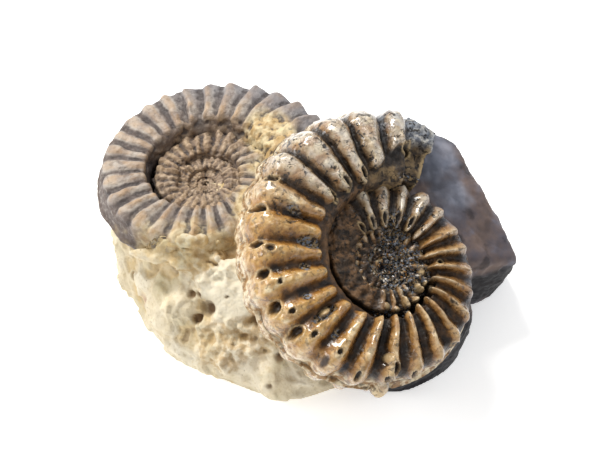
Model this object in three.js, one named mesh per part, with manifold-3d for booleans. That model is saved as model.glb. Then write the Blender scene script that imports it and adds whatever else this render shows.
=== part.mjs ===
// A hand specimen with two ribbed ammonites. A lump of pale limestone holds the smaller one flat, and the
// larger one leans on the lump's right-hand side and on a block of dark mudstone.
// Millimetres, +Z up. The origin lies on the flat underside, below the place where the two ammonites meet.
import * as THREE from "three";
import { mergeVertices } from "three/addons/utils/BufferGeometryUtils.js";
import Module from "manifold-3d";

const TURN = 2 * Math.PI;
const degrees = THREE.MathUtils.degToRad;

// The larger ammonite, about 55 mm across. Seen from above it grew clockwise. Its keel's radius grows by
// "expansion" each turn, and "aperture" is the polar angle of rib 0, the youngest whole rib. The ribs stand
// "ribPitch" degrees apart there, and "ribPitchGrowth" further apart with each rib inwards.
const FRONT = {
  place: [13.5, -14.8, 25.2],
  tilt: [20.5, 18.3, 0],
  radius: 31.7,
  expansion: 1.93,
  aperture: 85.8,
  brokenEnd: 17,
  ribPitch: 13.63,
  ribPitchGrowth: 0.034,
  ribHeight: 0.045,
  rowsPerTurn: 96,
  turns: 2.5,
};

// The smaller ammonite, about 47 mm across, lies level in the limestone.
const REAR = {
  place: [-22.3, 11.4, 21.1],
  tilt: [0, 0, 0],
  radius: 27.7,
  expansion: 1.86,
  aperture: 66.2,
  brokenEnd: 62,
  ribPitch: 12.4,
  ribPitchGrowth: 0.012,
  ribHeight: 0.036,
  rowsPerTurn: 68,
  turns: 2.5,
};

// Half of a whorl's section, from the inner edge of the upper flank over to the keel. Each corner holds its
// distance from the axis and its height above the middle, as shares of the keel's radius, and then the shares
// of the ribs' height by which a rib moves it outwards and upwards.
const SECTION = [
  [0.52, 0.235, -0.1, 0.3],
  [0.7, 0.265, 0, 1],
  [0.935, 0.255, 0.5, 0.7],
  [0.985, 0.15, 0.5, 0.1],
  [1.04, 0, 0, 0],
];
const SHOULDER = 2;

// A rock is a few lumps grown together on the ground. Each flat face of a lump is a compass angle from +X, a
// rise above level and a distance from the lump's middle. A finer lump has more triangles.
const PALE_ROCK = [
  {
    middle: [-15, 3, 9],
    fineness: 5,
    faces: [
      [180, -5, 30.5],
      [212, -5, 25],
      [245, -5, 27],
      [278, -5, 36],
      [305, -5, 38],
      [175, 15, 29.5],
      [205, 28, 22],
      [235, 40, 18.5],
      [265, 43, 20.5],
      [300, 35, 27],
      [0, 0, 24],
      [45, 5, 30],
      [90, 8, 30],
      [135, 5, 32],
      [90, 88, 13],
      [0, -90, 20],
    ],
  },
  {
    middle: [4, -8, 10],
    fineness: 3,
    faces: [
      [313, 63, 17],
      [133, 20, 22.5],
      [90, 15, 20.5],
      [180, 10, 18.5],
      [225, 5, 18],
      [270, 0, 18],
      [0, 0, 11],
      [45, 0, 15],
      [0, -90, 22],
    ],
  },
];
const DARK_ROCK = [
  {
    middle: [24, 0, 12],
    fineness: 4,
    faces: [
      [313, 63, 14],
      [5, 5, 21.3],
      [330, -10, 21],
      [45, 15, 21.2],
      [80, 10, 24],
      [115, 10, 18],
      [150, 0, 18],
      [200, 0, 16],
      [285, -5, 10.7],
      [0, -90, 22],
    ],
  },
  {
    middle: [22, -14, 8],
    fineness: 3,
    faces: [
      [313, 63, 11],
      [0, 0, 14],
      [330, -5, 13],
      [300, -5, 13],
      [270, -5, 15.5],
      [240, 0, 17],
      [180, 0, 14],
      [90, 0, 14],
      [0, -90, 20],
    ],
  },
];
const CRISPNESS = 18;

// A room for a shell has fewer rows than the shell, so its sides run up to 0.15 mm inside its corners.
const CONTACT_GAP = 0.45;
const ROOM_ROWS = 32;
const WELD = 1e-3;
const GROUND = 150;

const wasm = await Module();
wasm.setup();

// A closed three.js geometry as a solid.
function solidOf(geometry) {
  const bare = geometry.clone();
  bare.deleteAttribute("normal");
  bare.deleteAttribute("uv");
  const merged = mergeVertices(bare, WELD);
  const vertProperties = merged.attributes.position.array;
  const triVerts = Uint32Array.from(merged.index.array);
  return new wasm.Manifold(new wasm.Mesh({ numProp: 3, vertProperties, triVerts }));
}

function geometryOf(solid) {
  const { vertProperties, triVerts } = solid.getMesh();
  return new THREE.BufferGeometry()
    .setAttribute("position", new THREE.BufferAttribute(vertProperties, 3))
    .setIndex(new THREE.BufferAttribute(triVerts, 1));
}

// How far the skin stands up at a growth angle, from 0 in a groove to 1 on a rib's crest.
function ribLift(shell, growth) {
  const pitch = degrees(shell.ribPitch);
  const change = degrees(shell.ribPitchGrowth);
  const rib = (Math.sqrt(pitch * pitch - 4 * change * growth) - pitch) / (2 * change);
  return ((1 + Math.cos(TURN * rib)) / 2) ** 1.4;
}

// A corner of the section at a growth angle, which is 0 at rib 0 and falls inwards. Corners count from the
// upper flank, over the keel, to the lower flank. A clearance is added outside the ribs' crests.
function skinPoint(shell, growth, corner, clearance) {
  const keelCorner = SECTION.length - 1;
  const [distance, height, outwards, upwards] = SECTION[keelCorner - Math.abs(keelCorner - corner)];
  const side = Math.sign(keelCorner - corner);
  const keel = shell.radius * Math.exp((Math.log(shell.expansion) * growth) / TURN);
  const rib = shell.ribHeight * (clearance ? 1 : ribLift(shell, growth));
  const reach = keel * (distance + rib * outwards) + clearance;
  const rise = keel * (height + rib * upwards) + clearance;
  const polar = degrees(shell.aperture) - growth;
  return [reach * Math.cos(polar), reach * Math.sin(polar), side * rise];
}

// The whole numbers from one to another, up or down.
function count(from, to) {
  const step = Math.sign(to - from);
  return Array.from({ length: Math.abs(to - from) + 1 }, (_, i) => from + i * step);
}

// The closed skin of a coiled shell: a row of corners at each growth angle, joined by triangles. A whorl's
// seam lies on the shoulder of the whorl inside it, so a row borrows the corners of its two seams from the
// row one turn before. With a clearance it is the last turn alone, with its middle filled.
class Coil {
  constructor(shell, clearance) {
    this.turn = clearance ? ROOM_ROWS : shell.rowsPerTurn;
    this.rows = clearance ? this.turn : Math.round(this.turn * shell.turns);
    this.corners = 2 * SECTION.length - 1;
    this.farShoulder = this.corners - 1 - SHOULDER;
    [this.start, this.end] = clearance ? [0, this.corners - 1] : [-1, this.corners];
    this.points = [];
    this.triangles = [];
    const growthAt = (row) => degrees(shell.brokenEnd) - (TURN * (this.rows - row)) / this.turn;
    for (const row of count(-this.turn, this.rows)) {
      const growth = growthAt(row);
      this.points.push(...count(0, this.corners - 1).map((i) => skinPoint(shell, growth, i, clearance)));
    }
    this.middleHeight = skinPoint(shell, growthAt(clearance ? 0 : -this.turn / 2), 1, clearance)[2];
  }

  // The number of a row's corner, whose seams come before its first corner and after its last one.
  at(row, corner) {
    if (corner < 0) return this.at(row - this.turn, SHOULDER);
    if (corner >= this.corners) return this.at(row - this.turn, this.farShoulder);
    return (row + this.turn) * this.corners + corner;
  }

  // The flanks of every whorl, and the rim of the last one.
  whorls() {
    for (const row of count(0, this.rows - 1)) {
      for (const corner of count(this.start, this.end - 1)) {
        const rim = corner >= SHOULDER && corner < this.farShoulder;
        if (rim && row < this.rows - this.turn) continue;
        const [a, b] = [this.at(row, corner), this.at(row, corner + 1)];
        const [nextA, nextB] = [this.at(row + 1, corner), this.at(row + 1, corner + 1)];
        this.triangles.push([a, nextA, b], [b, nextA, nextB]);
      }
    }
  }

  // The flat face where the last whorl broke off, down to the whorl inside it.
  brokenFace() {
    const outer = count(this.end, this.start).map((corner) => this.at(this.rows, corner));
    const inner = count(SHOULDER, this.farShoulder).map((corner) => this.at(this.rows - this.turn, corner));
    const rim = [...new Set([...outer, ...inner])];
    const outline = rim.map((i) => {
      const [x, y, z] = this.points[i];
      return new THREE.Vector2(Math.hypot(x, y), z);
    });
    const corners = THREE.ShapeUtils.triangulateShape(outline, []);
    this.triangles.push(...corners.map((triangle) => triangle.map((i) => rim[i])));
  }

  // Triangles from each side of a closed rim to a point on the axis.
  fan(rim, height) {
    const apex = this.points.push([0, 0, height]) - 1;
    rim.forEach((p, i) => {
      const q = rim[(i + 1) % rim.length];
      if (p !== q) this.triangles.push([q, p, apex]);
    });
  }

  // The middle of the coil on both sides, with the step where the first whorl starts.
  middle() {
    const upperSeam = count(0, this.turn).map((row) => this.at(row, this.start));
    const upperStep = count(SHOULDER, this.start + 1).map((corner) => this.at(0, corner));
    this.fan([...upperSeam, ...upperStep], this.middleHeight);
    const lowerSeam = count(this.turn, 0).map((row) => this.at(row, this.end));
    const lowerStep = count(this.end - 1, this.farShoulder).map((corner) => this.at(0, corner));
    this.fan([...lowerSeam, ...lowerStep], -this.middleHeight);
  }

  geometry() {
    return new THREE.BufferGeometry()
      .setAttribute("position", new THREE.Float32BufferAttribute(this.points.flat(), 3))
      .setIndex(this.triangles.flat());
  }
}

// A shell in its place in the specimen, or with a clearance the room that it needs there.
function coiledShell(shell, clearance = 0) {
  const coil = new Coil(shell, clearance);
  coil.whorls();
  coil.brokenFace();
  coil.middle();
  const tilt = new THREE.Euler(...shell.tilt.map(degrees));
  const place = new THREE.Matrix4().makeRotationFromEuler(tilt).setPosition(...shell.place);
  return solidOf(coil.geometry().applyMatrix4(place));
}

// A unit vector at a compass angle from +X and a rise above level.
function towards(compass, rise) {
  const level = Math.cos(degrees(rise));
  const angle = degrees(compass);
  return new THREE.Vector3(level * Math.cos(angle), level * Math.sin(angle), Math.sin(degrees(rise)));
}

// A rounded block, found by looking out from its middle along every corner of a ball. The higher the
// crispness, the less the edges between its faces are rounded.
function lump({ middle, fineness, faces }, clearance) {
  const planes = faces.map(([compass, rise, distance]) => [towards(compass, rise), distance + clearance]);
  const ball = new THREE.IcosahedronGeometry(1, fineness);
  const corners = ball.attributes.position;
  const corner = new THREE.Vector3();
  for (let i = 0; i < corners.count; i++) {
    corner.fromBufferAttribute(corners, i).normalize();
    const nearness = planes.map(([normal, distance]) => Math.max(0, normal.dot(corner) / distance));
    const reach = nearness.reduce((sum, near) => sum + near ** CRISPNESS, 0) ** (-1 / CRISPNESS);
    corners.setXYZ(i, ...corner.multiplyScalar(reach));
  }
  return solidOf(ball.translate(...middle));
}

// The lumps of a rock in one solid, cut off at the ground.
function rock(lumps, clearance = 0) {
  const ground = new THREE.BoxGeometry(GROUND, GROUND, GROUND).translate(0, 0, -GROUND / 2);
  return wasm.Manifold.union(lumps.map((one) => lump(one, clearance))).subtract(solidOf(ground));
}

function stone(name, solid, color, roughness) {
  const material = new THREE.MeshStandardMaterial({ color, roughness, metalness: 0 });
  const mesh = new THREE.Mesh(geometryOf(solid), material);
  mesh.name = name;
  return mesh;
}

const frontRoom = coiledShell(FRONT, CONTACT_GAP);
const rearRoom = coiledShell(REAR, CONTACT_GAP);
const paleRoom = rock(PALE_ROCK, CONTACT_GAP);
const rear = coiledShell(REAR).subtract(frontRoom);
const pale = rock(PALE_ROCK).subtract(frontRoom).subtract(rearRoom);
const dark = rock(DARK_ROCK).subtract(frontRoom).subtract(rearRoom).subtract(paleRoom);

const specimen = new THREE.Group();
specimen.add(
  stone("front_ammonite", coiledShell(FRONT), 0x8c6334, 0.35),
  stone("rear_ammonite", rear, 0x8a7462, 0.7),
  stone("pale_limestone", pale, 0xd3c69e, 0.9),
  stone("dark_mudstone", dark, 0x4d4643, 0.6),
);

export default specimen;
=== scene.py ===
"""The looks of a hand specimen: a glossy ribbed ammonite that leans on pale limestone and dark mudstone.

A smaller, duller one lies in the limestone. Sizes are in millimetres, as in the CAD model, and become metres
when a mesh is made. A place on a shell is the number of a rib, counted inwards from the youngest, and a
distance from the coil's axis as a share of the keel's.
"""

import enum
import itertools
import logging
import math
from dataclasses import dataclass

import bpy
import numpy as np
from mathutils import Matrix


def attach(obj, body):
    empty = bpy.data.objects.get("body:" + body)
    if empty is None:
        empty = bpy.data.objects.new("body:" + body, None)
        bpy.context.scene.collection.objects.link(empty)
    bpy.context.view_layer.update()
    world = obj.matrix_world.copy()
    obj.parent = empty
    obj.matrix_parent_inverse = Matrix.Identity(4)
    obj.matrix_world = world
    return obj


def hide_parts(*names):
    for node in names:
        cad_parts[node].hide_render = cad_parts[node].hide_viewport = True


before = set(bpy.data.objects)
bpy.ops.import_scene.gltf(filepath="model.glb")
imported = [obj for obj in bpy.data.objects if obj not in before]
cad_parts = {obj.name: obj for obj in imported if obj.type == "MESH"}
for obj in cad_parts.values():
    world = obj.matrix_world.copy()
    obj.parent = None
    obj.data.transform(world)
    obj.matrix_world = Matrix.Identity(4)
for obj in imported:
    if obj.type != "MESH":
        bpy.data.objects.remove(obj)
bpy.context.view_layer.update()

import openvdb
from mathutils import Euler, Vector

MM = 0.001
TURN = 2 * math.pi
BODY = "root"
FAR = 999.0
TINY = 1e-12

Array = np.ndarray
Point = tuple[float, float, float]
Pair = tuple[float, float]
Socket = bpy.types.NodeSocket
Value = Socket | float | tuple
Stops = tuple[tuple[float, str], ...]

logging.basicConfig(level=logging.INFO, format="%(message)s")
log = logging.getLogger("specimen")


def ease(low: float, high: float, value: Array) -> Array:
    """A smooth step from 0 at low to 1 at high.

    Args:
        low: the value where the step starts, which may be above high.
        high: the value where the step ends.
        value: the values to ease.

    Returns:
        The share of the step at each value.
    """
    share = np.clip((value - low) / (high - low), 0, 1)
    return share * share * (3 - 2 * share)


def bell(middle: float | Array, width: float, value: Array) -> Array:
    """A bell curve, 1 at its middle."""
    return np.exp(-(((value - middle) / width) ** 2))


class Noise:
    """Seeded gradient noise in space, which is about -1 to 1."""

    table: int = 256
    strength: float = 1.7
    layer_shift: float = 17.3

    def __init__(self, seed: int) -> None:
        """Draws the noise's gradients from a seed."""
        draw = np.random.default_rng(seed)
        self.order = np.tile(draw.permutation(self.table), 2)
        gradients = draw.normal(size=(self.table, 3))
        self.gradients = (gradients / np.linalg.norm(gradients, axis=1, keepdims=True)).astype(np.float32)

    def at(self, points: Array, size: float) -> Array:
        """One layer of noise.

        Args:
            points: places in space, with x, y and z along the last axis.
            size: how far apart its hills are, in the points' unit.

        Returns:
            The noise at each point.
        """
        last = self.table - 1
        scaled = (points / size).astype(np.float32)
        cell = np.floor(scaled)
        inside = scaled - cell
        cell = cell.astype(np.int64) & last
        fade = inside * inside * inside * (inside * (inside * 6 - 15) + 10)
        total = np.zeros(points.shape[:-1], np.float32)
        for corner in itertools.product((0, 1), repeat=3):
            x, y, z = (cell[..., axis] + corner[axis] for axis in range(3))
            index = self.order[(self.order[(self.order[x & last] + y) & last] + z) & last]
            weight = np.prod(np.where(corner, fade, 1 - fade), axis=-1)
            away = inside - np.array(corner, np.float32)
            total += weight * np.einsum("...i,...i", self.gradients[index], away)
        return total * self.strength

    def layers(self, points: Array, size: float, count: int) -> Array:
        """Layers of noise, each half as large and half as strong as the one before.

        Args:
            points: places in space.
            size: the size of the first layer.
            count: how many layers there are.

        Returns:
            The sum of the layers at each point.
        """
        return sum(self.at(points + self.layer_shift * i, size / 2**i) / 2**i for i in range(count))


@dataclass(frozen=True)
class Relief:
    """Uneven ground: its height, the size and number of its layers, and a shift that sets it apart."""

    height: float
    size: float
    layers: int = 1
    shift: float = 0.0

    def of(self, noise: Noise, points: Array) -> Array:
        """Its height at each point."""
        return self.height * noise.layers(points + self.shift, self.size, self.layers)


@dataclass(frozen=True)
class Span:
    """A stretch of values, which eases in from start to full and out again from fade to end."""

    start: float
    full: float
    fade: float
    end: float

    def of(self, value: Array) -> Array:
        """How far each value is inside, from 0 to 1."""
        return ease(self.start, self.full, value) * ease(self.end, self.fade, value)


def until(fade: float, end: float) -> Span:
    """A span with no start."""
    return Span(-FAR, 1 - FAR, fade, end)


def since(start: float, full: float) -> Span:
    """A span with no end."""
    return Span(start, full, FAR - 1, FAR)


@dataclass(frozen=True)
class Zone:
    """A part of a shell's surface: a span of rib numbers and a step over the distance shares."""

    ribs: Span
    share: Pair
    strength: float = 1.0

    def of(self, number: Array, share: Array) -> Array:
        """How far each rib number and share is inside, up to the zone's strength."""
        return self.strength * self.ribs.of(number) * ease(*self.share, share)


def covered(zones: tuple[Zone, ...], number: Array, share: Array) -> Array:
    """How far each rib number and share is inside the nearest of several zones."""
    return np.max([zone.of(number, share) for zone in zones], axis=0)


@dataclass
class Skin:
    """A surface at work: points and outward normals, a height to lift it by, and fields for its finish."""

    points: Array
    normals: Array

    def __post_init__(self) -> None:
        """Starts it flat, without fields."""
        self.height = np.zeros(self.points.shape[:-1])
        self.fields: dict[str, Array] = {}

    def mark(self, name: str, mask: float | Array) -> None:
        """Raises a field to a mask, where the mask is higher."""
        self.fields[name] = np.maximum(self.fields.get(name, np.zeros_like(self.height)), mask)

    def lifted(self) -> Array:
        """The points at their heights."""
        return self.points + self.normals * self.height[..., None]


@dataclass
class ShellSkin(Skin):
    """A grid over whorls, of columns by growth and rows by section.

    Each point has a rib number, a distance share, a side, 1 above and -1 below, and the radius of its keel.
    """

    number: Array
    share: Array
    side: Array
    keel: Array


def corners_of(points: Array, triangles: Array) -> list[Array]:
    """The first, second and third corners of triangles."""
    return [points[triangles[:, i]] for i in range(3)]


def mesh_normals(points: Array, triangles: Array) -> Array:
    """The outward normals at a mesh's vertices.

    Args:
        points: the vertices.
        triangles: three vertex numbers for each face.

    Returns:
        A unit vector for each vertex.
    """
    a, b, c = corners_of(points, triangles)
    faces = np.cross(b - a, c - a)
    normals = np.zeros_like(points)
    for i, axis in itertools.product(range(3), range(3)):
        normals[:, axis] += np.bincount(triangles[:, i], faces[:, axis], len(points))
    return normals / np.maximum(np.linalg.norm(normals, axis=1, keepdims=True), TINY)


def outwards(points: Array, triangles: Array) -> Array:
    """The triangles of a closed mesh, turned over if they enclose less than nothing."""
    a, b, c = corners_of(points, triangles)
    return triangles[:, ::-1] if np.einsum("ij,ij", a, np.cross(b, c)) < 0 else triangles


def make_piece(name: str, points: Array, triangles: Array, fields: dict[str, Array]) -> bpy.types.Object:
    """A smooth-shaded mesh object.

    Args:
        name: the piece's name.
        points: its vertices in millimetres.
        triangles: three vertex numbers for each face.
        fields: values at the vertices that its finish reads by name.

    Returns:
        The object, linked to the scene.
    """
    mesh = bpy.data.meshes.new(name)
    mesh.vertices.add(len(points))
    mesh.vertices.foreach_set("co", (points * MM).astype(np.float32).ravel())
    mesh.loops.add(triangles.size)
    mesh.loops.foreach_set("vertex_index", triangles.astype(np.int32).ravel())
    mesh.polygons.add(len(triangles))
    mesh.polygons.foreach_set("loop_start", np.arange(0, triangles.size, 3, dtype=np.int32))
    mesh.polygons.foreach_set("use_smooth", np.ones(len(triangles), bool))
    for field, values in fields.items():
        attribute = mesh.attributes.new(field, "FLOAT", "POINT")
        attribute.data.foreach_set("value", values.astype(np.float32).ravel())
    mesh.update()
    mesh.validate()
    piece = bpy.data.objects.new(name, mesh)
    bpy.context.scene.collection.objects.link(piece)
    return piece


def settle(piece: bpy.types.Object, node: str, material: bpy.types.Material) -> None:
    """Dresses a piece and hands it to the frame.

    Args:
        piece: the finished object.
        node: the CAD node that it stands for.
        material: its finish.
    """
    piece.data.materials.append(material)
    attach(piece, BODY)
    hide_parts(node)
    log.info("%s: %d triangles", piece.name, len(piece.data.polygons))


@dataclass(frozen=True)
class Outline:
    """Half of a whorl's section, from the seam on the whorl inside it up over the flank to the keel.

    Each corner holds a distance from the axis and a height above the middle, as shares of the keel's radius.
    """

    corners: tuple[Pair, ...] = (
        (0.455, 0.09), (0.47, 0.15), (0.487, 0.205), (0.52, 0.245), (0.58, 0.264), (0.70, 0.27),
        (0.84, 0.268), (0.915, 0.25), (0.955, 0.205), (0.98, 0.14), (1.0, 0.07), (1.012, 0.025), (1.04, 0.0),
    )
    steps: int = 24

    def curve(self) -> Array:
        """A smooth run through the corners, as rows of distance, height and length along it."""
        p = np.array(self.corners)
        p = np.vstack([2 * p[0] - p[1], p, 2 * p[-1] - p[-2]])
        t = np.linspace(0, 1, self.steps, endpoint=False)[:, None]
        stretches = [
            b + 0.5 * t * (c - a + t * (2 * a - 5 * b + 4 * c - d + t * (3 * (b - c) + d - a)))
            for a, b, c, d in zip(p, p[1:], p[2:], p[3:])
        ]
        run = np.vstack([*stretches, p[-2]])
        length = np.concatenate([[0], np.cumsum(np.linalg.norm(np.diff(run, axis=0), axis=1))])
        return np.column_stack([run, length])

    def rows(self, upper: float, lower: float) -> tuple[Array, Array]:
        """The rows of a skin, from the upper seam over the keel to the lower seam.

        Args:
            upper: the space between rows on the upper half, as a share of the keel's radius.
            lower: the space on the lower half.

        Returns:
            The rows' distances and heights. A height is negative on the lower half.
        """
        distance, height, length = self.curve().T
        whole = length[-1]
        over = np.linspace(0, whole, round(whole / upper) + 1)
        under = np.linspace(whole, 0, round(whole / lower) + 1)[1:]
        places = np.concatenate([over, under])
        side = np.concatenate([np.ones(len(over)), -np.ones(len(under))])
        return np.interp(places, length, distance), side * np.interp(places, length, height)

    def height(self, share: Array) -> Array:
        """The height of the flank at a distance from the axis."""
        distance, height, _ = self.curve().T
        return np.interp(share, distance, height)


@dataclass(frozen=True)
class Coil:
    """The spiral that a shell grew along. Growth is an angle, 0 at rib 0, that falls inwards.

    The keel's radius grows by expansion each turn. The ribs stand rib_pitch degrees apart at rib 0, and
    pitch_growth further apart with each rib inwards. The inner whorls are shifted by drift. Steepness turns a
    height above the flank into about a distance from it.
    """

    place: Point
    tilt: Point
    radius: float
    expansion: float
    aperture: float
    rib_pitch: float
    pitch_growth: float
    drift: Pair = (0.0, 0.0)
    drifting: Pair = (27.0, 12.0)
    steepness: float = 0.8

    def keel(self, growth: Array) -> Array:
        """The keel's radius at a growth angle."""
        return self.radius * np.exp(math.log(self.expansion) * growth / TURN)

    def rib(self, growth: Array) -> Array:
        """The number of the rib at a growth angle."""
        pitch, change = math.radians(self.rib_pitch), math.radians(self.pitch_growth)
        return (np.sqrt(pitch * pitch - 4 * change * growth) - pitch) / (2 * change)

    def growth(self, rib: float) -> float:
        """The growth angle of a rib."""
        return -math.radians(self.rib_pitch * rib + self.pitch_growth * rib * rib)

    def columns(self, start: float, end: float, space: float) -> Array:
        """Growth angles from one to another, both in degrees, a given space apart along the keel."""
        rate = math.log(self.expansion) / TURN
        first, last = (math.exp(rate * math.radians(angle)) for angle in (start, end))
        count = round(self.radius / rate * abs(first - last) / space)
        return np.log(np.linspace(first, last, count + 1)) / rate

    def point(self, growth: Array, share: Array, height: Array) -> Array:
        """A place in the shell's own frame.

        Args:
            growth: a growth angle.
            share: the distance from the axis, as a share of the keel's radius.
            height: the height above the middle, as a share of the keel's radius.

        Returns:
            The point in millimetres.
        """
        keel = self.keel(growth)
        polar = math.radians(self.aperture) - growth
        radius = keel * share
        pull = ease(*self.drifting, radius)
        x = radius * np.cos(polar) + self.drift[0] * pull
        y = radius * np.sin(polar) + self.drift[1] * pull
        return np.stack(np.broadcast_arrays(x, y, keel * height), axis=-1)

    def off_axis(self, points: Array) -> Array:
        """How far points of the shell's own frame are from the axis of the inner whorls."""
        return np.hypot(points[..., 0] - self.drift[0], points[..., 1] - self.drift[1])

    def turned(self) -> Array:
        """The rotation of the shell's own frame, as a matrix."""
        return np.array(Euler([math.radians(a) for a in self.tilt], "ZYX").to_matrix())

    def placed(self, points: Array) -> Array:
        """Points of the shell's own frame, in the specimen."""
        return points @ self.turned().T + np.array(self.place)

    def room(self, points: Array, outline: Outline, broken_end: float) -> Array:
        """About how far points of the specimen lie outside the shell. It is negative inside.

        Args:
            points: places in the specimen.
            outline: the section of the whorls.
            broken_end: the growth angle, in degrees, where the last whorl ends.

        Returns:
            The distance at each point.
        """
        x, y, z = np.moveaxis((points - np.array(self.place)) @ self.turned(), -1, 0)
        polar = np.degrees(np.arctan2(y, x))
        growth = np.radians(broken_end - (broken_end - self.aperture + polar) % 360)
        keel = self.keel(growth)
        share = np.hypot(x, y) / keel
        rim = outline.corners[-1][0]
        table = np.linspace(0, rim, 256)
        flank = np.interp(share, table, outline.height(table))
        outside = np.hypot((share - rim) * keel, z)
        return np.where(share < rim, (np.abs(z) / keel - flank) * keel * self.steepness, outside)


class Kind(enum.Enum):
    """What a small feature of a shell is."""

    BORE = "a deep hole with a pale rim"
    PIT = "a hollow with a thin rim and a glazed floor"
    GRIT = "a hollow filled with dark glittering grains"
    STAIN = "a smooth dark spot"
    KNOB = "a rounded bump"


@dataclass(frozen=True)
class Feature:
    """A small feature of a shell's upper side.

    Its place is a rib number and a share of the keel's radius. Its length runs along the ribs.
    """

    kind: Kind
    rib: float
    share: float
    length: float
    width: float
    depth: float = 0.0


@dataclass(frozen=True)
class Crack:
    """A crack along a line of places, each a rib number and a share of the keel's radius."""

    path: tuple[Pair, ...]
    width: float
    depth: float


@dataclass(frozen=True)
class RibStyle:
    """How the ribs look from one rib number on, until they have turned into the next style.

    The widths towards older and younger ribs are shares of the pitch, flat is the share of the width that the
    crest takes, and the height and the inner and outer ends are shares of the keel's radius. A rib is a tube
    where soft is 0, a low wave where it is 1 and a thin ridge where it is 2. Dark and cream say how dark the
    grooves and how pale the crests are. Dark grooves are partly the shell's own colour and partly painted
    shade;
    on the larger shell, pale crests are partly a painted highlight.
    """

    rib: float
    older: float
    younger: float
    flat: float
    soft: float
    height: float
    inner: float
    dark: float
    cream: float
    outer: float = 0.93


def blurred(values: Array, reach: int) -> Array:
    """A grid's values, each averaged over the cells within reach on both axes."""
    for axis in (0, 1):
        padded = np.concatenate([np.zeros_like(np.take(values, [0], axis)), np.cumsum(values, axis)], axis)
        count = values.shape[axis]
        high = np.minimum(np.arange(count) + reach + 1, count)
        low = np.maximum(np.arange(count) - reach, 0)
        shape = [1, 1]
        shape[axis] = count
        values = (np.take(padded, high, axis) - np.take(padded, low, axis)) / (high - low).reshape(shape)
    return values


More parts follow.
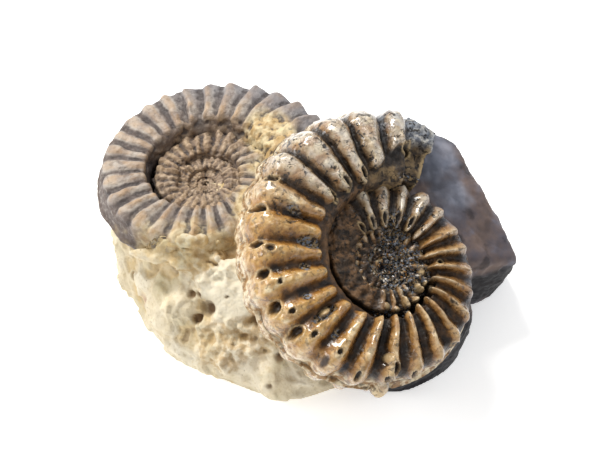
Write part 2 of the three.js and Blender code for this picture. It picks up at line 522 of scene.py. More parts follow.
@dataclass
class Ammonite:
    """A coiled shell, whose whorls run from the broken end to the innermost angle, both in degrees of growth.

    The spaces are those between the columns of its mesh, in millimetres, and between the rows on its upper
    and lower sides, as shares of the keel's radius. Ragged is how uneven the broken end is, in millimetres.
    Strays give how far the ribs have moved towards older ones, from one rib number on, and slimming gives how
    wide a rib is at each share of the keel's radius. The tips are the lengths of a rib's rounded ends, the
    powers shape its sides, and variety is how much one rib differs from the next. The edges of a small feature,
    and the place and width of the ring round it, are shares of its size. A hollow's shade comes from the
    height of the ground within reach of it.
    """

    coil: Coil
    styles: tuple[RibStyle, ...]
    broken_end: float
    innermost: float
    column_space: float
    upper_space: float
    lower_space: float
    ragged: float
    outline: Outline = Outline()
    features: tuple[Feature, ...] = ()
    cracks: tuple[Crack, ...] = ()
    strays: tuple[Pair, ...] = ((0.0, 0.0),)
    slimming: tuple[Pair, ...] = ((0.5, 0.95), (0.75, 1.0), (0.95, 1.2))
    inner_tip: float = 0.045
    outer_tip: float = 0.1
    tube_power: float = 0.35
    ridge_power: float = 1.7
    wobble: Relief = Relief(0.07, 5.0, 2)
    variety: float = 0.12
    farthest: float = 3.0
    thinness: float = 0.4
    hole_edge: Pair = (1.1, 0.75)
    hole_wobble: Relief = Relief(0.25, 1.3, 2)
    rim_ring: Pair = (1.3, 0.22)
    rim_height: float = 0.2
    grit_edge: Pair = (1.15, 0.8)
    grit_wobble: float = 0.25
    grit_size: float = 0.6
    stain_edge: Pair = (1.2, 0.6)
    knob_ring: Pair = (1.2, 0.2)
    knob_moat: float = 0.25
    knob_edge: Pair = (0.7, 1.0)
    crack_bend: Relief = Relief(0.4, 1.6, 3)
    crack_shift: float = 40.0
    crack_floor: float = 0.3
    section_middle: float = 0.75
    shade_reach: int = 5
    shade_strength: float = 1.6
    end_wave: Relief = Relief(1.0, 3.0, 3)
    end_rings: int = 14
    end_edge: int = 3
    end_corner: int = 5
    seed: int = 1

    def __post_init__(self) -> None:
        """Draws the shell's noise and how each of its ribs differs."""
        self.noise = Noise(self.seed)
        draw = np.random.default_rng(self.seed)
        self.widths = draw.uniform(1 - self.variety, 1 + self.variety, Noise.table)
        self.heights = draw.uniform(1 - self.variety, 1, Noise.table)

    def styled(self, name: str, rib: Array) -> Array:
        """One number of the rib styles at each rib number."""
        return np.interp(rib, [s.rib for s in self.styles], [getattr(s, name) for s in self.styles])

    def ribs(self, skin: ShellSkin) -> Array:
        """The ribs' height at each point of a skin, from 0 in a groove to 1 on a crest."""
        number, share = skin.number, skin.share
        names = ("older", "younger", "flat", "soft", "inner", "outer")
        older, younger, flat, soft, inner, outer = (self.styled(name, number) for name in names)
        bent = number + self.wobble.of(self.noise, skin.points) - np.interp(number, *zip(*self.strays))
        whole = np.floor(bent + younger / (older + younger)).astype(int)
        offset = bent - whole
        slim = np.interp(share, *zip(*self.slimming)) * self.widths[whole]
        across = np.abs(offset) / (slim * np.where(offset > 0, older, younger))
        inward = (inner + self.inner_tip - share) / self.inner_tip
        outward = (share - outer) / self.outer_tip
        nearness = np.hypot(across, np.maximum(np.maximum(inward, outward), 0))
        body = np.clip((1 - nearness) / (1 - flat), 0, 1)
        tube = np.sqrt(body * (2 - body)) * body**self.tube_power
        wave = body * body * (3 - 2 * body)
        ridge = body**self.ridge_power
        worn = tube + (wave - tube) * np.minimum(soft, 1)
        return (worn + (ridge - worn) * np.maximum(soft - 1, 0)) * self.heights[whole]

    def room(self, points: Array) -> Array:
        """About how far points of the specimen lie outside the shell."""
        return self.coil.room(points, self.outline, self.broken_end)

    def centre(self, rib: float, share: float) -> tuple[Array, Array, Array]:
        """A place on the upper side, with the directions along the rib and across it."""
        growth = self.coil.growth(rib)
        middle = self.coil.point(growth, share, float(self.outline.height(share)))
        polar = math.radians(self.coil.aperture) - growth
        along = np.array([math.cos(polar), math.sin(polar), 0])
        return middle, along, np.array([-along[1], along[0], 0])

    def spread(self, feature: Feature, points: Array) -> Array:
        """How far points are from a feature's middle, where 1 is its edge."""
        middle, along, across = self.centre(feature.rib, feature.share)
        away = points - middle
        level = np.hypot(away @ along / feature.length, away @ across / feature.width) * 2
        return level + np.abs(away[..., 2]) / (feature.length + feature.width) * self.thinness

    def add_feature(self, feature: Feature, skin: ShellSkin, away: Array) -> None:
        """Works a small feature into a skin.

        Args:
            feature: the feature.
            skin: the surface.
            away: how far its points are from the feature's middle, where 1 is the edge.
        """
        if feature.kind in (Kind.BORE, Kind.PIT):
            away = away + self.hole_wobble.of(self.noise, skin.points)
            hole, rim = ease(*self.hole_edge, away), bell(*self.rim_ring, away)
            skin.height += self.rim_height * rim - feature.depth * hole
            # The finish paints the holes near-black: painted shade in them.
            skin.mark("hole", hole)
            skin.mark("rim", rim)
        elif feature.kind is Kind.GRIT:
            rough = away + self.grit_wobble * self.noise.at(skin.points, self.grit_size * feature.width)
            mask = ease(*self.grit_edge, rough)
            skin.height -= feature.depth * mask
            skin.mark("grit", mask)
        elif feature.kind is Kind.STAIN:
            skin.mark("stain", ease(*self.stain_edge, away))
        else:
            dome = np.sqrt(np.clip(1 - away**2, 0, 1))
            skin.height += feature.depth * dome - self.knob_moat * bell(*self.knob_ring, away)
            skin.mark("grit", 0.0)
            skin.fields["grit"] *= ease(*self.knob_edge, away)
            skin.mark("rim", dome)

    def add_features(self, skin: ShellSkin) -> None:
        """Works all the small features that lie on a skin into it."""
        for feature in self.features:
            away = self.spread(feature, skin.points)
            if away.min() <= self.farthest:
                self.add_feature(feature, skin, away)

    def add_cracks(self, skin: ShellSkin) -> None:
        """Works the cracks into a skin."""
        bends = [self.crack_bend.of(self.noise, skin.points + self.crack_shift * i) for i in range(3)]
        moved = skin.points + np.stack(bends, axis=-1)
        for crack in self.cracks:
            places = [self.centre(*place)[0] for place in crack.path]
            nearest = np.full(skin.height.shape, np.inf)
            for a, b in zip(places, places[1:]):
                along = np.clip((moved - a) @ (b - a) / ((b - a) @ (b - a)), 0, 1)
                gap = np.linalg.norm(moved - a - along[..., None] * (b - a), axis=-1)
                nearest = np.minimum(nearest, gap)
            groove = ease(crack.width, self.crack_floor * crack.width, nearest)
            skin.height -= crack.depth * groove
            # The finish paints the cracks near-black: painted shade in them.
            skin.mark("crack", groove)

    def skin(self, start: float, end: float) -> ShellSkin:
        """The bare surface of the whorls between two growth angles, in degrees."""
        distance, height = self.outline.rows(self.upper_space, self.lower_space)
        column = self.coil.columns(start, end, self.column_space)[:, None]
        points = self.coil.point(column, distance[None, :], height[None, :])
        normals = np.cross(np.gradient(points, axis=0), np.gradient(points, axis=1))
        normals /= np.linalg.norm(normals, axis=-1, keepdims=True)
        middle = self.coil.point(column, self.section_middle, 0.0)
        if np.sum(normals * (points - middle)) < 0:
            normals = -normals
        sizes = self.coil.rib(column), distance[None, :], np.sign(height)[None, :], self.coil.keel(column)
        return ShellSkin(points, normals, *sizes)

    def closed(self, name: str, skin: ShellSkin, ragged: float) -> bpy.types.Object:
        """A closed piece from a skin, with both ends drawn in to their middles.

        Args:
            name: the piece's name.
            skin: the worked surface.
            ragged: how uneven its first end is, in millimetres.

        Returns:
            The object.
        """
        # The hollow field is high where the ground lies below the average height within reach; the finishes
        # paint shade there.
        shades = blurred(skin.height, self.shade_reach) - skin.height
        skin.mark("hollow", np.clip(0.5 + self.shade_strength * shades, 0, 1))
        grid = skin.lifted()
        grid = np.concatenate([self.cap(grid[0], ragged)[::-1], grid, self.cap(grid[-1], 0.0)])
        ends = ((self.end_rings, self.end_rings), (0, 0))
        fields = {field: np.pad(values, ends, "edge") for field, values in skin.fields.items()}
        total, rows = grid.shape[:2]
        points = grid.reshape(-1, 3)
        index = np.arange(total * rows).reshape(total, rows)
        a, b = index[:-1], index[1:]
        c, d = np.roll(b, -1, 1), np.roll(a, -1, 1)
        halves = [np.stack(half, -1).reshape(-1, 3) for half in ((a, b, c), (a, c, d))]
        fan = [(index[0, 0], index[0, j + 1], index[0, j]) for j in range(1, rows - 1)]
        fan += [(index[-1, 0], index[-1, j], index[-1, j + 1]) for j in range(1, rows - 1)]
        triangles = outwards(points, np.concatenate([*halves, np.array(fan)]))
        return make_piece(name, self.coil.placed(points), triangles, fields)

    def cap(self, ring: Array, ragged: float) -> Array:
        """Rings that draw a column in towards its middle."""
        middle = ring.mean(axis=0)
        axis = np.cross(ring[self.end_corner] - middle, ring[len(ring) // 2] - middle)
        axis /= np.linalg.norm(axis)
        rings = []
        for step in range(1, self.end_rings + 1):
            flat = middle + (ring - middle) * (1 - step / (self.end_rings + 1))
            wave = self.end_wave.of(self.noise, flat) * min(1, step / self.end_edge)
            rings.append(flat + axis * (ragged * wave)[:, None])
        return np.array(rings)


@dataclass
class GlossyAmmonite(Ammonite):
    """The larger shell, with a cord along its keel, bored rib ends and a broken last whorl.

    It is made in two pieces, which part where the growth angle is split. The last rib stands before a break,
    whose wall falls below a pitted cap. A brown smudge lies over the second whorl, a wall of the same brown
    stands round it, and small lumps stand for the ribs of the third whorl. The younger side of the umbilicus
    is full of dark grit, and black gaps follow the inner ends of some ribs.
    """

    split: float = -360.0
    first_rib: Pair = (-0.5, -0.3)
    flank: Span = Span(0.48, 0.55, 0.94, 1.0)
    groove_depth: float = 0.014
    waves: Relief = Relief(0.30, 4.5, 2)
    texture: Relief = Relief(0.09, 1.3, 3, 9)
    crest_waves: Relief = Relief(0.22, 2.4, 2, 33)
    smudged: Span = Span(26.8, 28.3, 34.5, 37.0)
    smudge_wear: float = 0.9
    smudge_wall: Zone = Zone(Span(-1.2, 0.0, 8.0, 10.0), (0.555, 0.5), 0.85)
    middle: Pair = (6.3, 4.8)
    middle_wear: float = 0.75
    rubble: Relief = Relief(0.4, 1.7, 3, 6)
    third_whorl: Span = since(36.0, 38.0)
    third_share: Span = Span(0.5, 0.56, 0.96, 1.0)
    third_lumps: Relief = Relief(0.5, 1.5, 3, 16)
    golden: Zone = Zone(Span(3.5, 5.0, 10.5, 12.0), (0.88, 0.95))
    grain: Relief = Relief(0.22, 0.8)
    coarse_grain: Relief = Relief(0.11, 1.6, 1, 5)
    cord_share: float = 1.04
    cord_edge: Pair = (1.7, 1.0)
    cord_bead: Relief = Relief(0.05, 1.2, 2)
    cord_waver: Relief = Relief(0.2, 6.0)
    cord_place: float = 0.75
    cord_gaps: Relief = Relief(1.0, 5.0, 1, 8)
    cord_gap_edge: Pair = (-0.35, 0.1)
    cord_groove: Pair = (0.14, 0.25)
    cord_dark: float = 0.6
    break_ragged: Relief = Relief(0.02, 2.5, 3)
    break_wall: Zone = Zone(until(-0.45, -0.3), (0.79, 0.75))
    break_cap: Zone = Zone(until(-0.45, -0.3), (0.76, 0.79))
    break_side: Zone = Zone(until(1.0, 2.2), (0.64, 0.56))
    break_edge: Zone = Zone(until(-1.2, -1.05), (0.8, 0.77), 0.7)
    break_corner: Zone = Zone(until(-1.25, -0.5), (0.84, 1.0))
    break_depth: float = 2.0
    corner_depth: float = 1.8
    cap_height: float = 1.0
    cap_lumps: Relief = Relief(0.35, 2.2, 3, 3)
    cap_pits: Relief = Relief(1.0, 1.5, 1, 3)
    cap_pit_edge: Pair = (0.1, 0.5)
    cap_pit_depth: float = 0.5
    gap_ragged: Relief = Relief(0.012, 2.0, 3, 2)
    gaps: tuple[Zone, ...] = (
        Zone(Span(7.0, 9.0, 17.0, 20.0), (0.515, 0.48)),
        Zone(Span(30.0, 32.0, 40.0, 42.0), (0.82, 0.88)),
    )
    gap_depth: float = 1.2
    swirl: Relief = Relief(1.0, 2.6, 3)
    grit_ribs: Pair = (22.0, 24.0)
    grit_seam: Zone = Zone(since(21.0, 24.0), (0.50, 0.475), 0.8)
    grit_lower: Zone = Zone(Span(34.5, 36.5, 43.0, 46.0), (0.80, 0.86))
    grit_lower_swirl: float = 0.03
    grit_right: tuple[Pair, float] = ((-1.0, 2.0), 0.4)
    grit_front: tuple[Pair, float] = ((-6.0, -3.5), 0.5)
    grit_radius: Pair = (11.5, 8.5)
    grit_strength: float = 0.95
    grit_core: tuple[Pair, float] = ((4.5, 2.5), 1.2)
    grit_patches: Pair = (-0.5, -0.1)
    # Where the finish paints a blue-grey sky reflection.
    cool: tuple[Zone, ...] = (
        Zone(until(-0.6, 1.6), (0.7, 0.95)),
        Zone(Span(12.0, 13.5, 17.0, 21.0), (0.95, 0.99)),
        Zone(Span(16.5, 18.5, 21.5, 23.5), (0.76, 0.92), 0.75),
    )

    def worked(self, start: float, end: float) -> ShellSkin:
        """The finished surface of the whorls between two growth angles, in degrees."""
        skin = self.skin(start, end)
        noise, points, number, share = self.noise, skin.points, skin.number, skin.share
        smudged = self.smudged.of(number)
        inside = ease(*self.middle, self.coil.off_axis(points))
        rib = self.ribs(skin) * ease(*self.first_rib, number)
        rib = rib * (1 - self.smudge_wear * smudged) * (1 - self.middle_wear * inside)
        flank = self.flank.of(share)
        skin.height += skin.keel * self.styled("height", number) * rib
        skin.height -= self.groove_depth * skin.keel * (1 - rib) * flank
        skin.height += self.waves.of(noise, points) * flank + self.texture.of(noise, points)
        skin.height += self.crest_waves.of(noise, points) * rib
        skin.height += (smudged + inside) * self.rubble.of(noise, points)
        third = self.third_whorl.of(number) * self.third_share.of(share)
        skin.height += third * self.third_lumps.of(noise, points)
        self.add_break(skin)
        self.add_gaps(skin)
        self.add_grit(skin)
        self.add_features(skin)
        self.add_cracks(skin)
        self.add_cord(skin)
        skin.mark("rib", rib)
        skin.mark("cream", self.styled("cream", number))
        skin.mark("dark", self.styled("dark", number) * (1 - self.golden.of(number, share)))
        skin.mark("smudge", np.maximum(smudged, self.smudge_wall.of(number, share) * (1 - rib)))
        # The cool field is where the finish paints a blue-grey sky reflection.
        skin.mark("cool", covered(self.cool, number, share))
        return skin

    def add_cord(self, skin: ShellSkin) -> None:
        """Works in the double cord along the keel."""
        away = (self.cord_share - skin.share) * skin.keel
        band = ease(*self.cord_edge, away)
        middle = self.cord_place + self.cord_waver.of(self.noise, skin.points)
        whole = ease(*self.cord_gap_edge, self.cord_gaps.of(self.noise, skin.points))
        width, depth = self.cord_groove
        groove = bell(middle, width, away) * (skin.side > 0) * whole
        skin.height += band * self.cord_bead.of(self.noise, skin.points) - depth * groove
        skin.mark("keel", band)
        # The finish darkens the cord's fine groove through the crack field: painted shade.
        skin.mark("crack", self.cord_dark * groove)

    def add_break(self, skin: ShellSkin) -> None:
        """Works in the drop behind the last rib, where the shell has broken away below a pitted cap."""
        ragged = skin.share + self.break_ragged.of(self.noise, skin.points)
        zones = (self.break_wall, self.break_cap, self.break_side)
        wall, cap, side = (zone.of(skin.number, ragged) for zone in zones)
        pits = self.cap_pit_depth * ease(*self.cap_pit_edge, self.cap_pits.of(self.noise, skin.points))
        lumps = self.cap_height + self.cap_lumps.of(self.noise, skin.points)
        skin.height += cap * (lumps - pits) - self.break_depth * wall
        skin.height -= self.corner_depth * self.break_corner.of(skin.number, skin.share)
        skin.mark("worn", cap)
        skin.mark("plane", np.maximum(wall, side))
        skin.mark("rim", self.break_edge.of(skin.number, ragged))

    def add_gaps(self, skin: ShellSkin) -> None:
        """Works in the black gaps along the inner ends of ribs."""
        ragged = skin.share + self.gap_ragged.of(self.noise, skin.points)
        gap = covered(self.gaps, skin.number, ragged)
        skin.height -= self.gap_depth * gap
        # The finish paints the gaps near-black: painted shade in them.
        skin.mark("crack", gap)

    def add_grit(self, skin: ShellSkin) -> None:
        """Fills the umbilicus with dark grit, most of all on its younger side."""
        noise, points, number = self.noise, skin.points, skin.number
        radius = self.coil.off_axis(points)
        swirl = self.swirl.of(noise, points)
        mask = self.grit_strength * ease(*self.grit_radius, radius)
        for axis, (step, swirling) in enumerate((self.grit_right, self.grit_front)):
            mask = mask * ease(*step, points[..., axis] + swirling * swirl)
        step, swirling = self.grit_core
        core = ease(*step, radius + swirling * swirl)
        seam = self.grit_seam.of(number, skin.share)
        lower = self.grit_lower.of(number, skin.share + self.grit_lower_swirl * swirl)
        mask = np.max(np.broadcast_arrays(mask, core, seam, lower), axis=0)
        mask = mask * ease(*self.grit_patches, swirl) * ease(*self.grit_ribs, number) * (skin.side > 0)
        skin.height += mask * (self.grain.of(noise, points) + self.coarse_grain.of(noise, points))
        skin.mark("grit", mask)

    def build(self) -> list[bpy.types.Object]:
        """The outer whorl and the inner whorls."""
        whorl = self.closed("front_outer_whorl", self.worked(self.broken_end, self.split), self.ragged)
        return [whorl, self.closed("front_inner_whorls", self.worked(self.split, self.innermost), 0.0)]


@dataclass
class DullAmmonite(Ammonite):
    """The smaller shell, worn dull, with a rough brown middle and crusts of rock towards the larger shell.

    A crust is a place in the shell's own frame and a radius. Dust lies on the shell's front, thickening from
    the first to the second of two places.
    """

    crusts: tuple[Point, ...] = ((14.5, 9.0, 6.5), (14.0, 1.0, 5.0), (13.0, -9.0, 7.0))
    crust_edge: Pair = (1.2, 0.6)
    crust_patches: Relief = Relief(0.3, 9.0, 3, 12)
    crust_side: Pair = (0.0, 2.0)
    crust_height: float = 0.7
    crust_lumps: Relief = Relief(0.7, 3.2, 4, 20)
    texture: Relief = Relief(0.3, 3.0, 4)
    inner_ribs: Pair = (24.5, 27.0)
    inner_wear: float = 0.42
    inner_worn: float = 0.8
    rough_share: Pair = (0.58, 0.5)
    rough_patches: Relief = Relief(1.0, 5.0)
    rough_edge: Pair = (-0.6, 0.2)
    rubble: Relief = Relief(0.7, 2.2, 3, 8)
    gap_ragged: Relief = Relief(0.015, 3.0, 3, 4)
    gaps: tuple[Zone, ...] = (
        Zone(Span(5.5, 8.0, 12.0, 14.0), (0.56, 0.50)),
        Zone(Span(29.5, 32.0, 39.0, 42.0), (0.84, 0.92)),
    )
    gap_depth: float = 1.3
    dust: Pair = (-13.0, -18.5)
    dust_wave: Relief = Relief(3.0, 4.0, 3, 24)
    dust_strength: float = 0.8
    cool: Zone = Zone(until(1.0, 6.0), (0.6, 0.9))

    def crust(self, points: Array) -> Array:
        """How much crust covers each point of the upper side."""
        patchy = self.crust_patches.of(self.noise, points)
        x, y, z = np.moveaxis(points, -1, 0)
        cover = [ease(*self.crust_edge, np.hypot(x - a, y - b) / r + patchy) for a, b, r in self.crusts]
        return np.max(cover, axis=0) * ease(*self.crust_side, z)

    def build(self) -> list[bpy.types.Object]:
        """The whole shell in one piece."""
        skin = self.skin(self.broken_end, self.innermost)
        noise, points, number, share = self.noise, skin.points, skin.number, skin.share
        inner = ease(*self.inner_ribs, number)
        crust = self.crust(points)
        rib = self.ribs(skin) * (1 - self.inner_wear * inner) * (1 - crust)
        patches = ease(*self.rough_edge, self.rough_patches.of(noise, points))
        rough = np.maximum(inner, ease(*self.rough_share, share)) * patches
        gap = covered(self.gaps, number, share + self.gap_ragged.of(noise, points))
        dust = ease(*self.dust, points[..., 1] + self.dust_wave.of(noise, points)) * (points[..., 2] > 0)
        skin.height += skin.keel * self.styled("height", number) * rib + self.texture.of(noise, points)
        skin.height += np.maximum(rough, inner) * self.rubble.of(noise, points) - self.gap_depth * gap
        skin.height += crust * (self.crust_height + self.crust_lumps.of(noise, points))
        self.add_features(skin)
        skin.mark("worn", np.maximum(rough, self.inner_worn * inner))
        skin.mark("crust", np.maximum(crust, self.dust_strength * dust))
        skin.mark("crack", gap)
        skin.mark("rib", rib)
        skin.mark("cream", self.styled("cream", number))
        skin.mark("dark", self.styled("dark", number))
        skin.mark("cool", self.cool.of(number, share))
        return [self.closed("rear_whorls", skin, self.ragged)]


@dataclass(frozen=True)
class Lump:
    """A rounded block of rock. Each face is a compass angle, a rise and a distance from the lump's middle."""

    middle: Point
    faces: tuple[Point, ...]
    crispness: int = 18

    def distance(self, points: Array) -> Array:
        """About how far points lie outside the lump."""
        away = points - np.array(self.middle, np.float32)
        total = np.zeros(points.shape[:-1], np.float32)
        for compass, rise, distance in self.faces:
            level = math.cos(math.radians(rise))
            angle = math.radians(compass)
            upward = math.sin(math.radians(rise))
            normal = np.array([level * math.cos(angle), level * math.sin(angle), upward])
            near = np.clip(away @ (normal / distance).astype(np.float32), 0, None)
            square = near * near
            total += square * (square**4) ** 2
        size = np.linalg.norm(away, axis=-1)
        return size - size / np.maximum(total, TINY) ** (1 / self.crispness)


class Spot(enum.Enum):
    """What a small feature of a rock is."""

    BOSS = "a rounded swelling"
    HOLE = "a hole"
    HOLLOW = "a wide soft hollow"
    FACET = "a smooth, slightly raised patch"
    ROUGH = "lumpy, broken ground"
    # A spot of another colour; on the dark rock, painted shade on its lower faces.
    TINT = "a spot of another colour"
    # On the dark rock's top, a painted blue-grey sky reflection.
    FROST = "a blue-grey bloom"


@dataclass(frozen=True)
class RockSpot:
    """A small feature of a rock, with the place of its middle, its radius and its height or depth."""

    kind: Spot
    place: Point
    radius: float
    height: float = 0.0


def blend_min(first: Array, second: Array, reach: float) -> Array:
    """The smaller of two distances, blended where they are within reach of each other."""
    near = np.clip(reach - np.abs(first - second), 0, None) / reach
    return np.minimum(first, second) - near * near * reach / 4


@dataclass(frozen=True)
class Collar:
    """A bank of rock that laps up the side of a shell, in front of a plane across the specimen."""

    shell: int
    thickness: float
    top: float
    back: float
    taper: float = 5.0

    def distance(self, points: Array, shell: Array) -> Array:
        """About how far points lie outside the collar, from how far they lie outside its shell."""
        below = np.clip((self.top - points[..., 2]) / self.taper, -1, 1)
        return np.maximum(shell - self.thickness * below, points[..., 1] - self.back)


@dataclass
class Rock:
    """A rock as lumps grown together, cut off at the ground and hollowed for the shells.

    Its surface is uneven by its roughness, with hills as far apart as its grain, and by ledges. It is stained
    near a shell and lies still where it meets a shell or the ground, over the distances of shell_stain,
    shell_calm and ground_calm. The edges of a spot are shares of its radius.
    """

    name: str
    lumps: tuple[Lump, ...]
    low: Point
    high: Point
    cell: float
    roughness: float
    grain: float
    ledges: float
    ledge_size: float
    spots: tuple[RockSpot, ...] = ()
    collars: tuple[Collar, ...] = ()
    collar_wave: Pair = (0.5, 6.0)
    blend: float = 3.0
    fillet: float = 2.0
    overlap: float = 0.5
    ground: float = 0.0
    band: float = 4.0
    ledge_levels: Relief = Relief(2.2, 1.0, 3, 60)
    ledge_riser: Pair = (0.3, 0.7)
    grain_layers: int = 4
    rubble: Relief = Relief(1.0, 2.6, 3, 30)
    facet_calm: float = 0.97
    shell_stain: Pair = (4.0, 0.6)
    shell_calm: Pair = (-0.3, 0.5)
    ground_calm: Pair = (0.1, 1.6)
    sunk_strength: float = 0.45
    seed: int = 7

    edges = {
        Spot.BOSS: (1.25, 0.3),
        Spot.HOLE: (1.15, 0.7),
        Spot.HOLLOW: (1.2, 0.2),
        Spot.FACET: (1.04, 0.99),
        Spot.ROUGH: (1.3, 0.7),
        Spot.TINT: (1.2, 0.2),
        Spot.FROST: (1.2, 0.3),
    }
    ragged = {
        Spot.FACET: Relief(0.2, 7.0, 2, 5),
        Spot.ROUGH: Relief(0.2, 3.0),
        Spot.FROST: Relief(0.4, 5.0, 3),
    }

    def __post_init__(self) -> None:
        """Draws the rock's noise."""
        self.noise = Noise(self.seed)

    def solid(self, points: Array) -> Array:
        """How far points lie outside the rock before it is hollowed."""
        distance = self.lumps[0].distance(points)
        for lump in self.lumps[1:]:
            distance = blend_min(distance, lump.distance(points), self.blend)
        return distance

    def carve(self, points: Array, distance: Array, shells: list[Array]) -> Array:
        """Raises a fillet to each shell and cuts the shells and the ground off.

        Args:
            points: places in the specimen.
            distance: how far they lie outside the bare rock.
            shells: how far they lie outside each shell.

        Returns:
            How far they lie outside the finished rock.
        """
        share, size = self.collar_wave
        for collar in self.collars:
            uneven = points + share * self.ledges * self.noise.at(points, size)[..., None]
            distance = blend_min(distance, collar.distance(uneven, shells[collar.shell]), self.blend)
        for shell in shells:
            distance = blend_min(distance, shell + self.overlap, self.fillet)
        for shell in shells:
            distance = np.maximum(distance, -shell - self.overlap / 2)
        return np.maximum(distance, self.ground - points[..., 2])

    def surface(self, ammonites: list[Ammonite]) -> tuple[Array, Array]:
        """The rock's vertices and triangles, before its fine relief, with room for the shells."""
        axes = [np.arange(a, b, self.cell, dtype=np.float32) for a, b in zip(self.low, self.high)]
        points = np.stack(np.meshgrid(*axes, indexing="ij"), axis=-1)
        shells = [a.room(points).astype(np.float32) for a in ammonites]
        distance = self.carve(points, self.solid(points), shells)
        grid = openvdb.FloatGrid(self.band)
        grid.copyFromArray(np.clip(distance, -self.band, self.band).astype(np.float32))
        vertices, triangles, quads = grid.convertToPolygons(isovalue=0.0, adaptivity=0.0)
        halves = np.concatenate([quads[:, [0, 1, 2]], quads[:, [0, 2, 3]]])
        triangles = np.concatenate([triangles.reshape(-1, 3), halves]).astype(np.int64)
        vertices = vertices * self.cell + np.array(self.low)
        return vertices, outwards(vertices, triangles)

    def add_spot(self, spot: RockSpot, skin: Skin) -> None:
        """Works a small feature into a skin."""
        away = np.linalg.norm(skin.points - np.array(spot.place), axis=1) / spot.radius
        if spot.kind in self.ragged:
            away = away + self.ragged[spot.kind].of(self.noise, skin.points)
        mask = ease(*self.edges[spot.kind], away)
        rise = -spot.height if spot.kind in (Spot.HOLE, Spot.HOLLOW) else spot.height
        bumps = self.rubble.of(self.noise, skin.points) if spot.kind is Spot.ROUGH else 1.0
        skin.height += mask * rise * bumps
        if spot.kind not in (Spot.BOSS, Spot.HOLLOW):
            skin.mark(spot.kind.name.lower(), mask)

    def ledged(self, points: Array) -> Array:
        """The height of the rock's ledges at its vertices."""
        levels = self.ledge_levels
        level = levels.height * self.noise.layers(points + levels.shift, self.ledge_size, levels.layers)
        step = np.floor(level)
        return self.ledges * (step + ease(*self.ledge_riser, level - step)) / levels.height

    def build(self, ammonites: list[Ammonite]) -> bpy.types.Object:
        """The finished rock, with room for the shells."""
        points, triangles = self.surface(ammonites)
        skin = Skin(points, mesh_normals(points, triangles))
        for spot in self.spots:
            self.add_spot(spot, skin)
        uneven = self.roughness * self.noise.layers(points, self.grain, self.grain_layers)
        uneven += self.ledged(points)
        relief = uneven * (1 - self.facet_calm * skin.fields.get("facet", 0.0)) + skin.height
        gap = np.min([a.room(points) for a in ammonites], axis=0)
        skin.mark("near", ease(*self.shell_stain, gap))
        # The sunk field is high in low ground; the finishes paint shade there.
        skin.mark("sunk", np.clip(0.5 - self.sunk_strength * relief, 0, 1))
        foot = ease(*self.ground_calm, points[:, 2] - self.ground)
        skin.height = relief * foot * ease(*self.shell_calm, gap)
        points = skin.lifted()
        points[:, 2] = np.maximum(points[:, 2], self.ground)
        return make_piece(self.name, points, triangles, skin.fields)


@dataclass
class Grains:
    """Small angular grains that lie in a shell's gritty places, where its grit is above a threshold.

    Few of them are large: the higher the rarity, the fewer. Each corner is stretched by an amount of its own.
    """

    name: str
    count: int
    smallest: float
    largest: float
    threshold: float = 0.5
    rarity: int = 4
    stretch: Pair = (0.6, 1.4)
    seed: int = 3

    def build(self, shell: bpy.types.Object) -> bpy.types.Object:
        """Scatters the grains over a shell.

        Args:
            shell: a piece with a field named grit.

        Returns:
            All the grains as one object.
        """
        draw = np.random.default_rng(self.seed)
        mesh = shell.data
        grit = np.zeros(len(mesh.vertices), np.float32)
        mesh.attributes["grit"].data.foreach_get("value", grit)
        places = np.zeros(len(mesh.vertices) * 3, np.float32)
        mesh.vertices.foreach_get("co", places)
        places = places.reshape(-1, 3)[grit > self.threshold] / MM
        chosen = places[draw.choice(len(places), min(self.count, len(places)), replace=False)]
        count = len(chosen)
        corners = np.array([(1, 0, 0), (-1, 0, 0), (0, 1, 0), (0, -1, 0), (0, 0, 1), (0, 0, -1)], float)
        faces = np.array([(x, y, z) for x in (0, 1) for y in (2, 3) for z in (4, 5)])
        flip = faces.sum(axis=1) % 2 == 1
        faces[flip] = faces[flip][:, [0, 2, 1]]
        spread = self.largest - self.smallest
        size = (self.smallest + spread * draw.random((count, 1, 1)) ** self.rarity) / 2
        stretch = draw.uniform(*self.stretch, (count, len(corners), 1))
        turns = np.linalg.qr(draw.normal(size=(count, 3, 3)))[0]
        turns *= np.sign(np.linalg.det(turns))[:, None, None]
        points = (corners * size * stretch) @ turns + chosen[:, None, :]
        triangles = (faces[None] + len(corners) * np.arange(count)[:, None, None]).reshape(-1, 3)
        shade = np.repeat(draw.random(count), len(corners))
        piece = make_piece(self.name, points.reshape(-1, 3), triangles, {"shade": shade})
        piece.data.polygons.foreach_set("use_smooth", np.zeros(len(triangles), bool))
        return piece


@dataclass(frozen=True)
class Cloud:
    """Cloudy noise between 0 and 1, with hills about size millimetres apart. Shifts keep patterns apart."""

    size: float
    detail: float = 3.0
    shift: float = 0.0
    warp: float = 0.0


@dataclass(frozen=True)
class Cells:
    """The distance to the nearest grain's middle, or to the nearest edge between grains."""

    size: float
    edges: bool = False
    shift: float = 0.0


@dataclass(frozen=True)
class Step:
    """A smooth step over a mask, from first where the mask is low to last where it is high."""

    mask: "Mask"
    low: float
    high: float
    first: float = 0.0
    last: float = 1.0


@dataclass(frozen=True)
class Blend:
    """One colour laid over another by a mask."""

    mask: "Mask"
    below: "Colour"
    above: "Colour"


Mask = str | float | tuple | Cloud | Cells | Step
Colour = str | Blend
Bumps = tuple[tuple[Cloud, float], ...]
Sockets = tuple[tuple[str, Value], ...]


@dataclass(frozen=True)
class Layer:
    """A colour laid over what is below it, by the product of its masks."""

    colour: Colour
    masks: tuple[Mask, ...]


def paint(code: str) -> tuple[float, float, float, float]:
    """A linear colour from a hex code."""
    parts = [int(code[i : i + 2], 16) / 255 for i in (1, 3, 5)]
    linear = [c / 12.92 if c <= 0.04045 else ((c + 0.055) / 1.055) ** 2.4 for c in parts]
    return (*linear, 1.0)


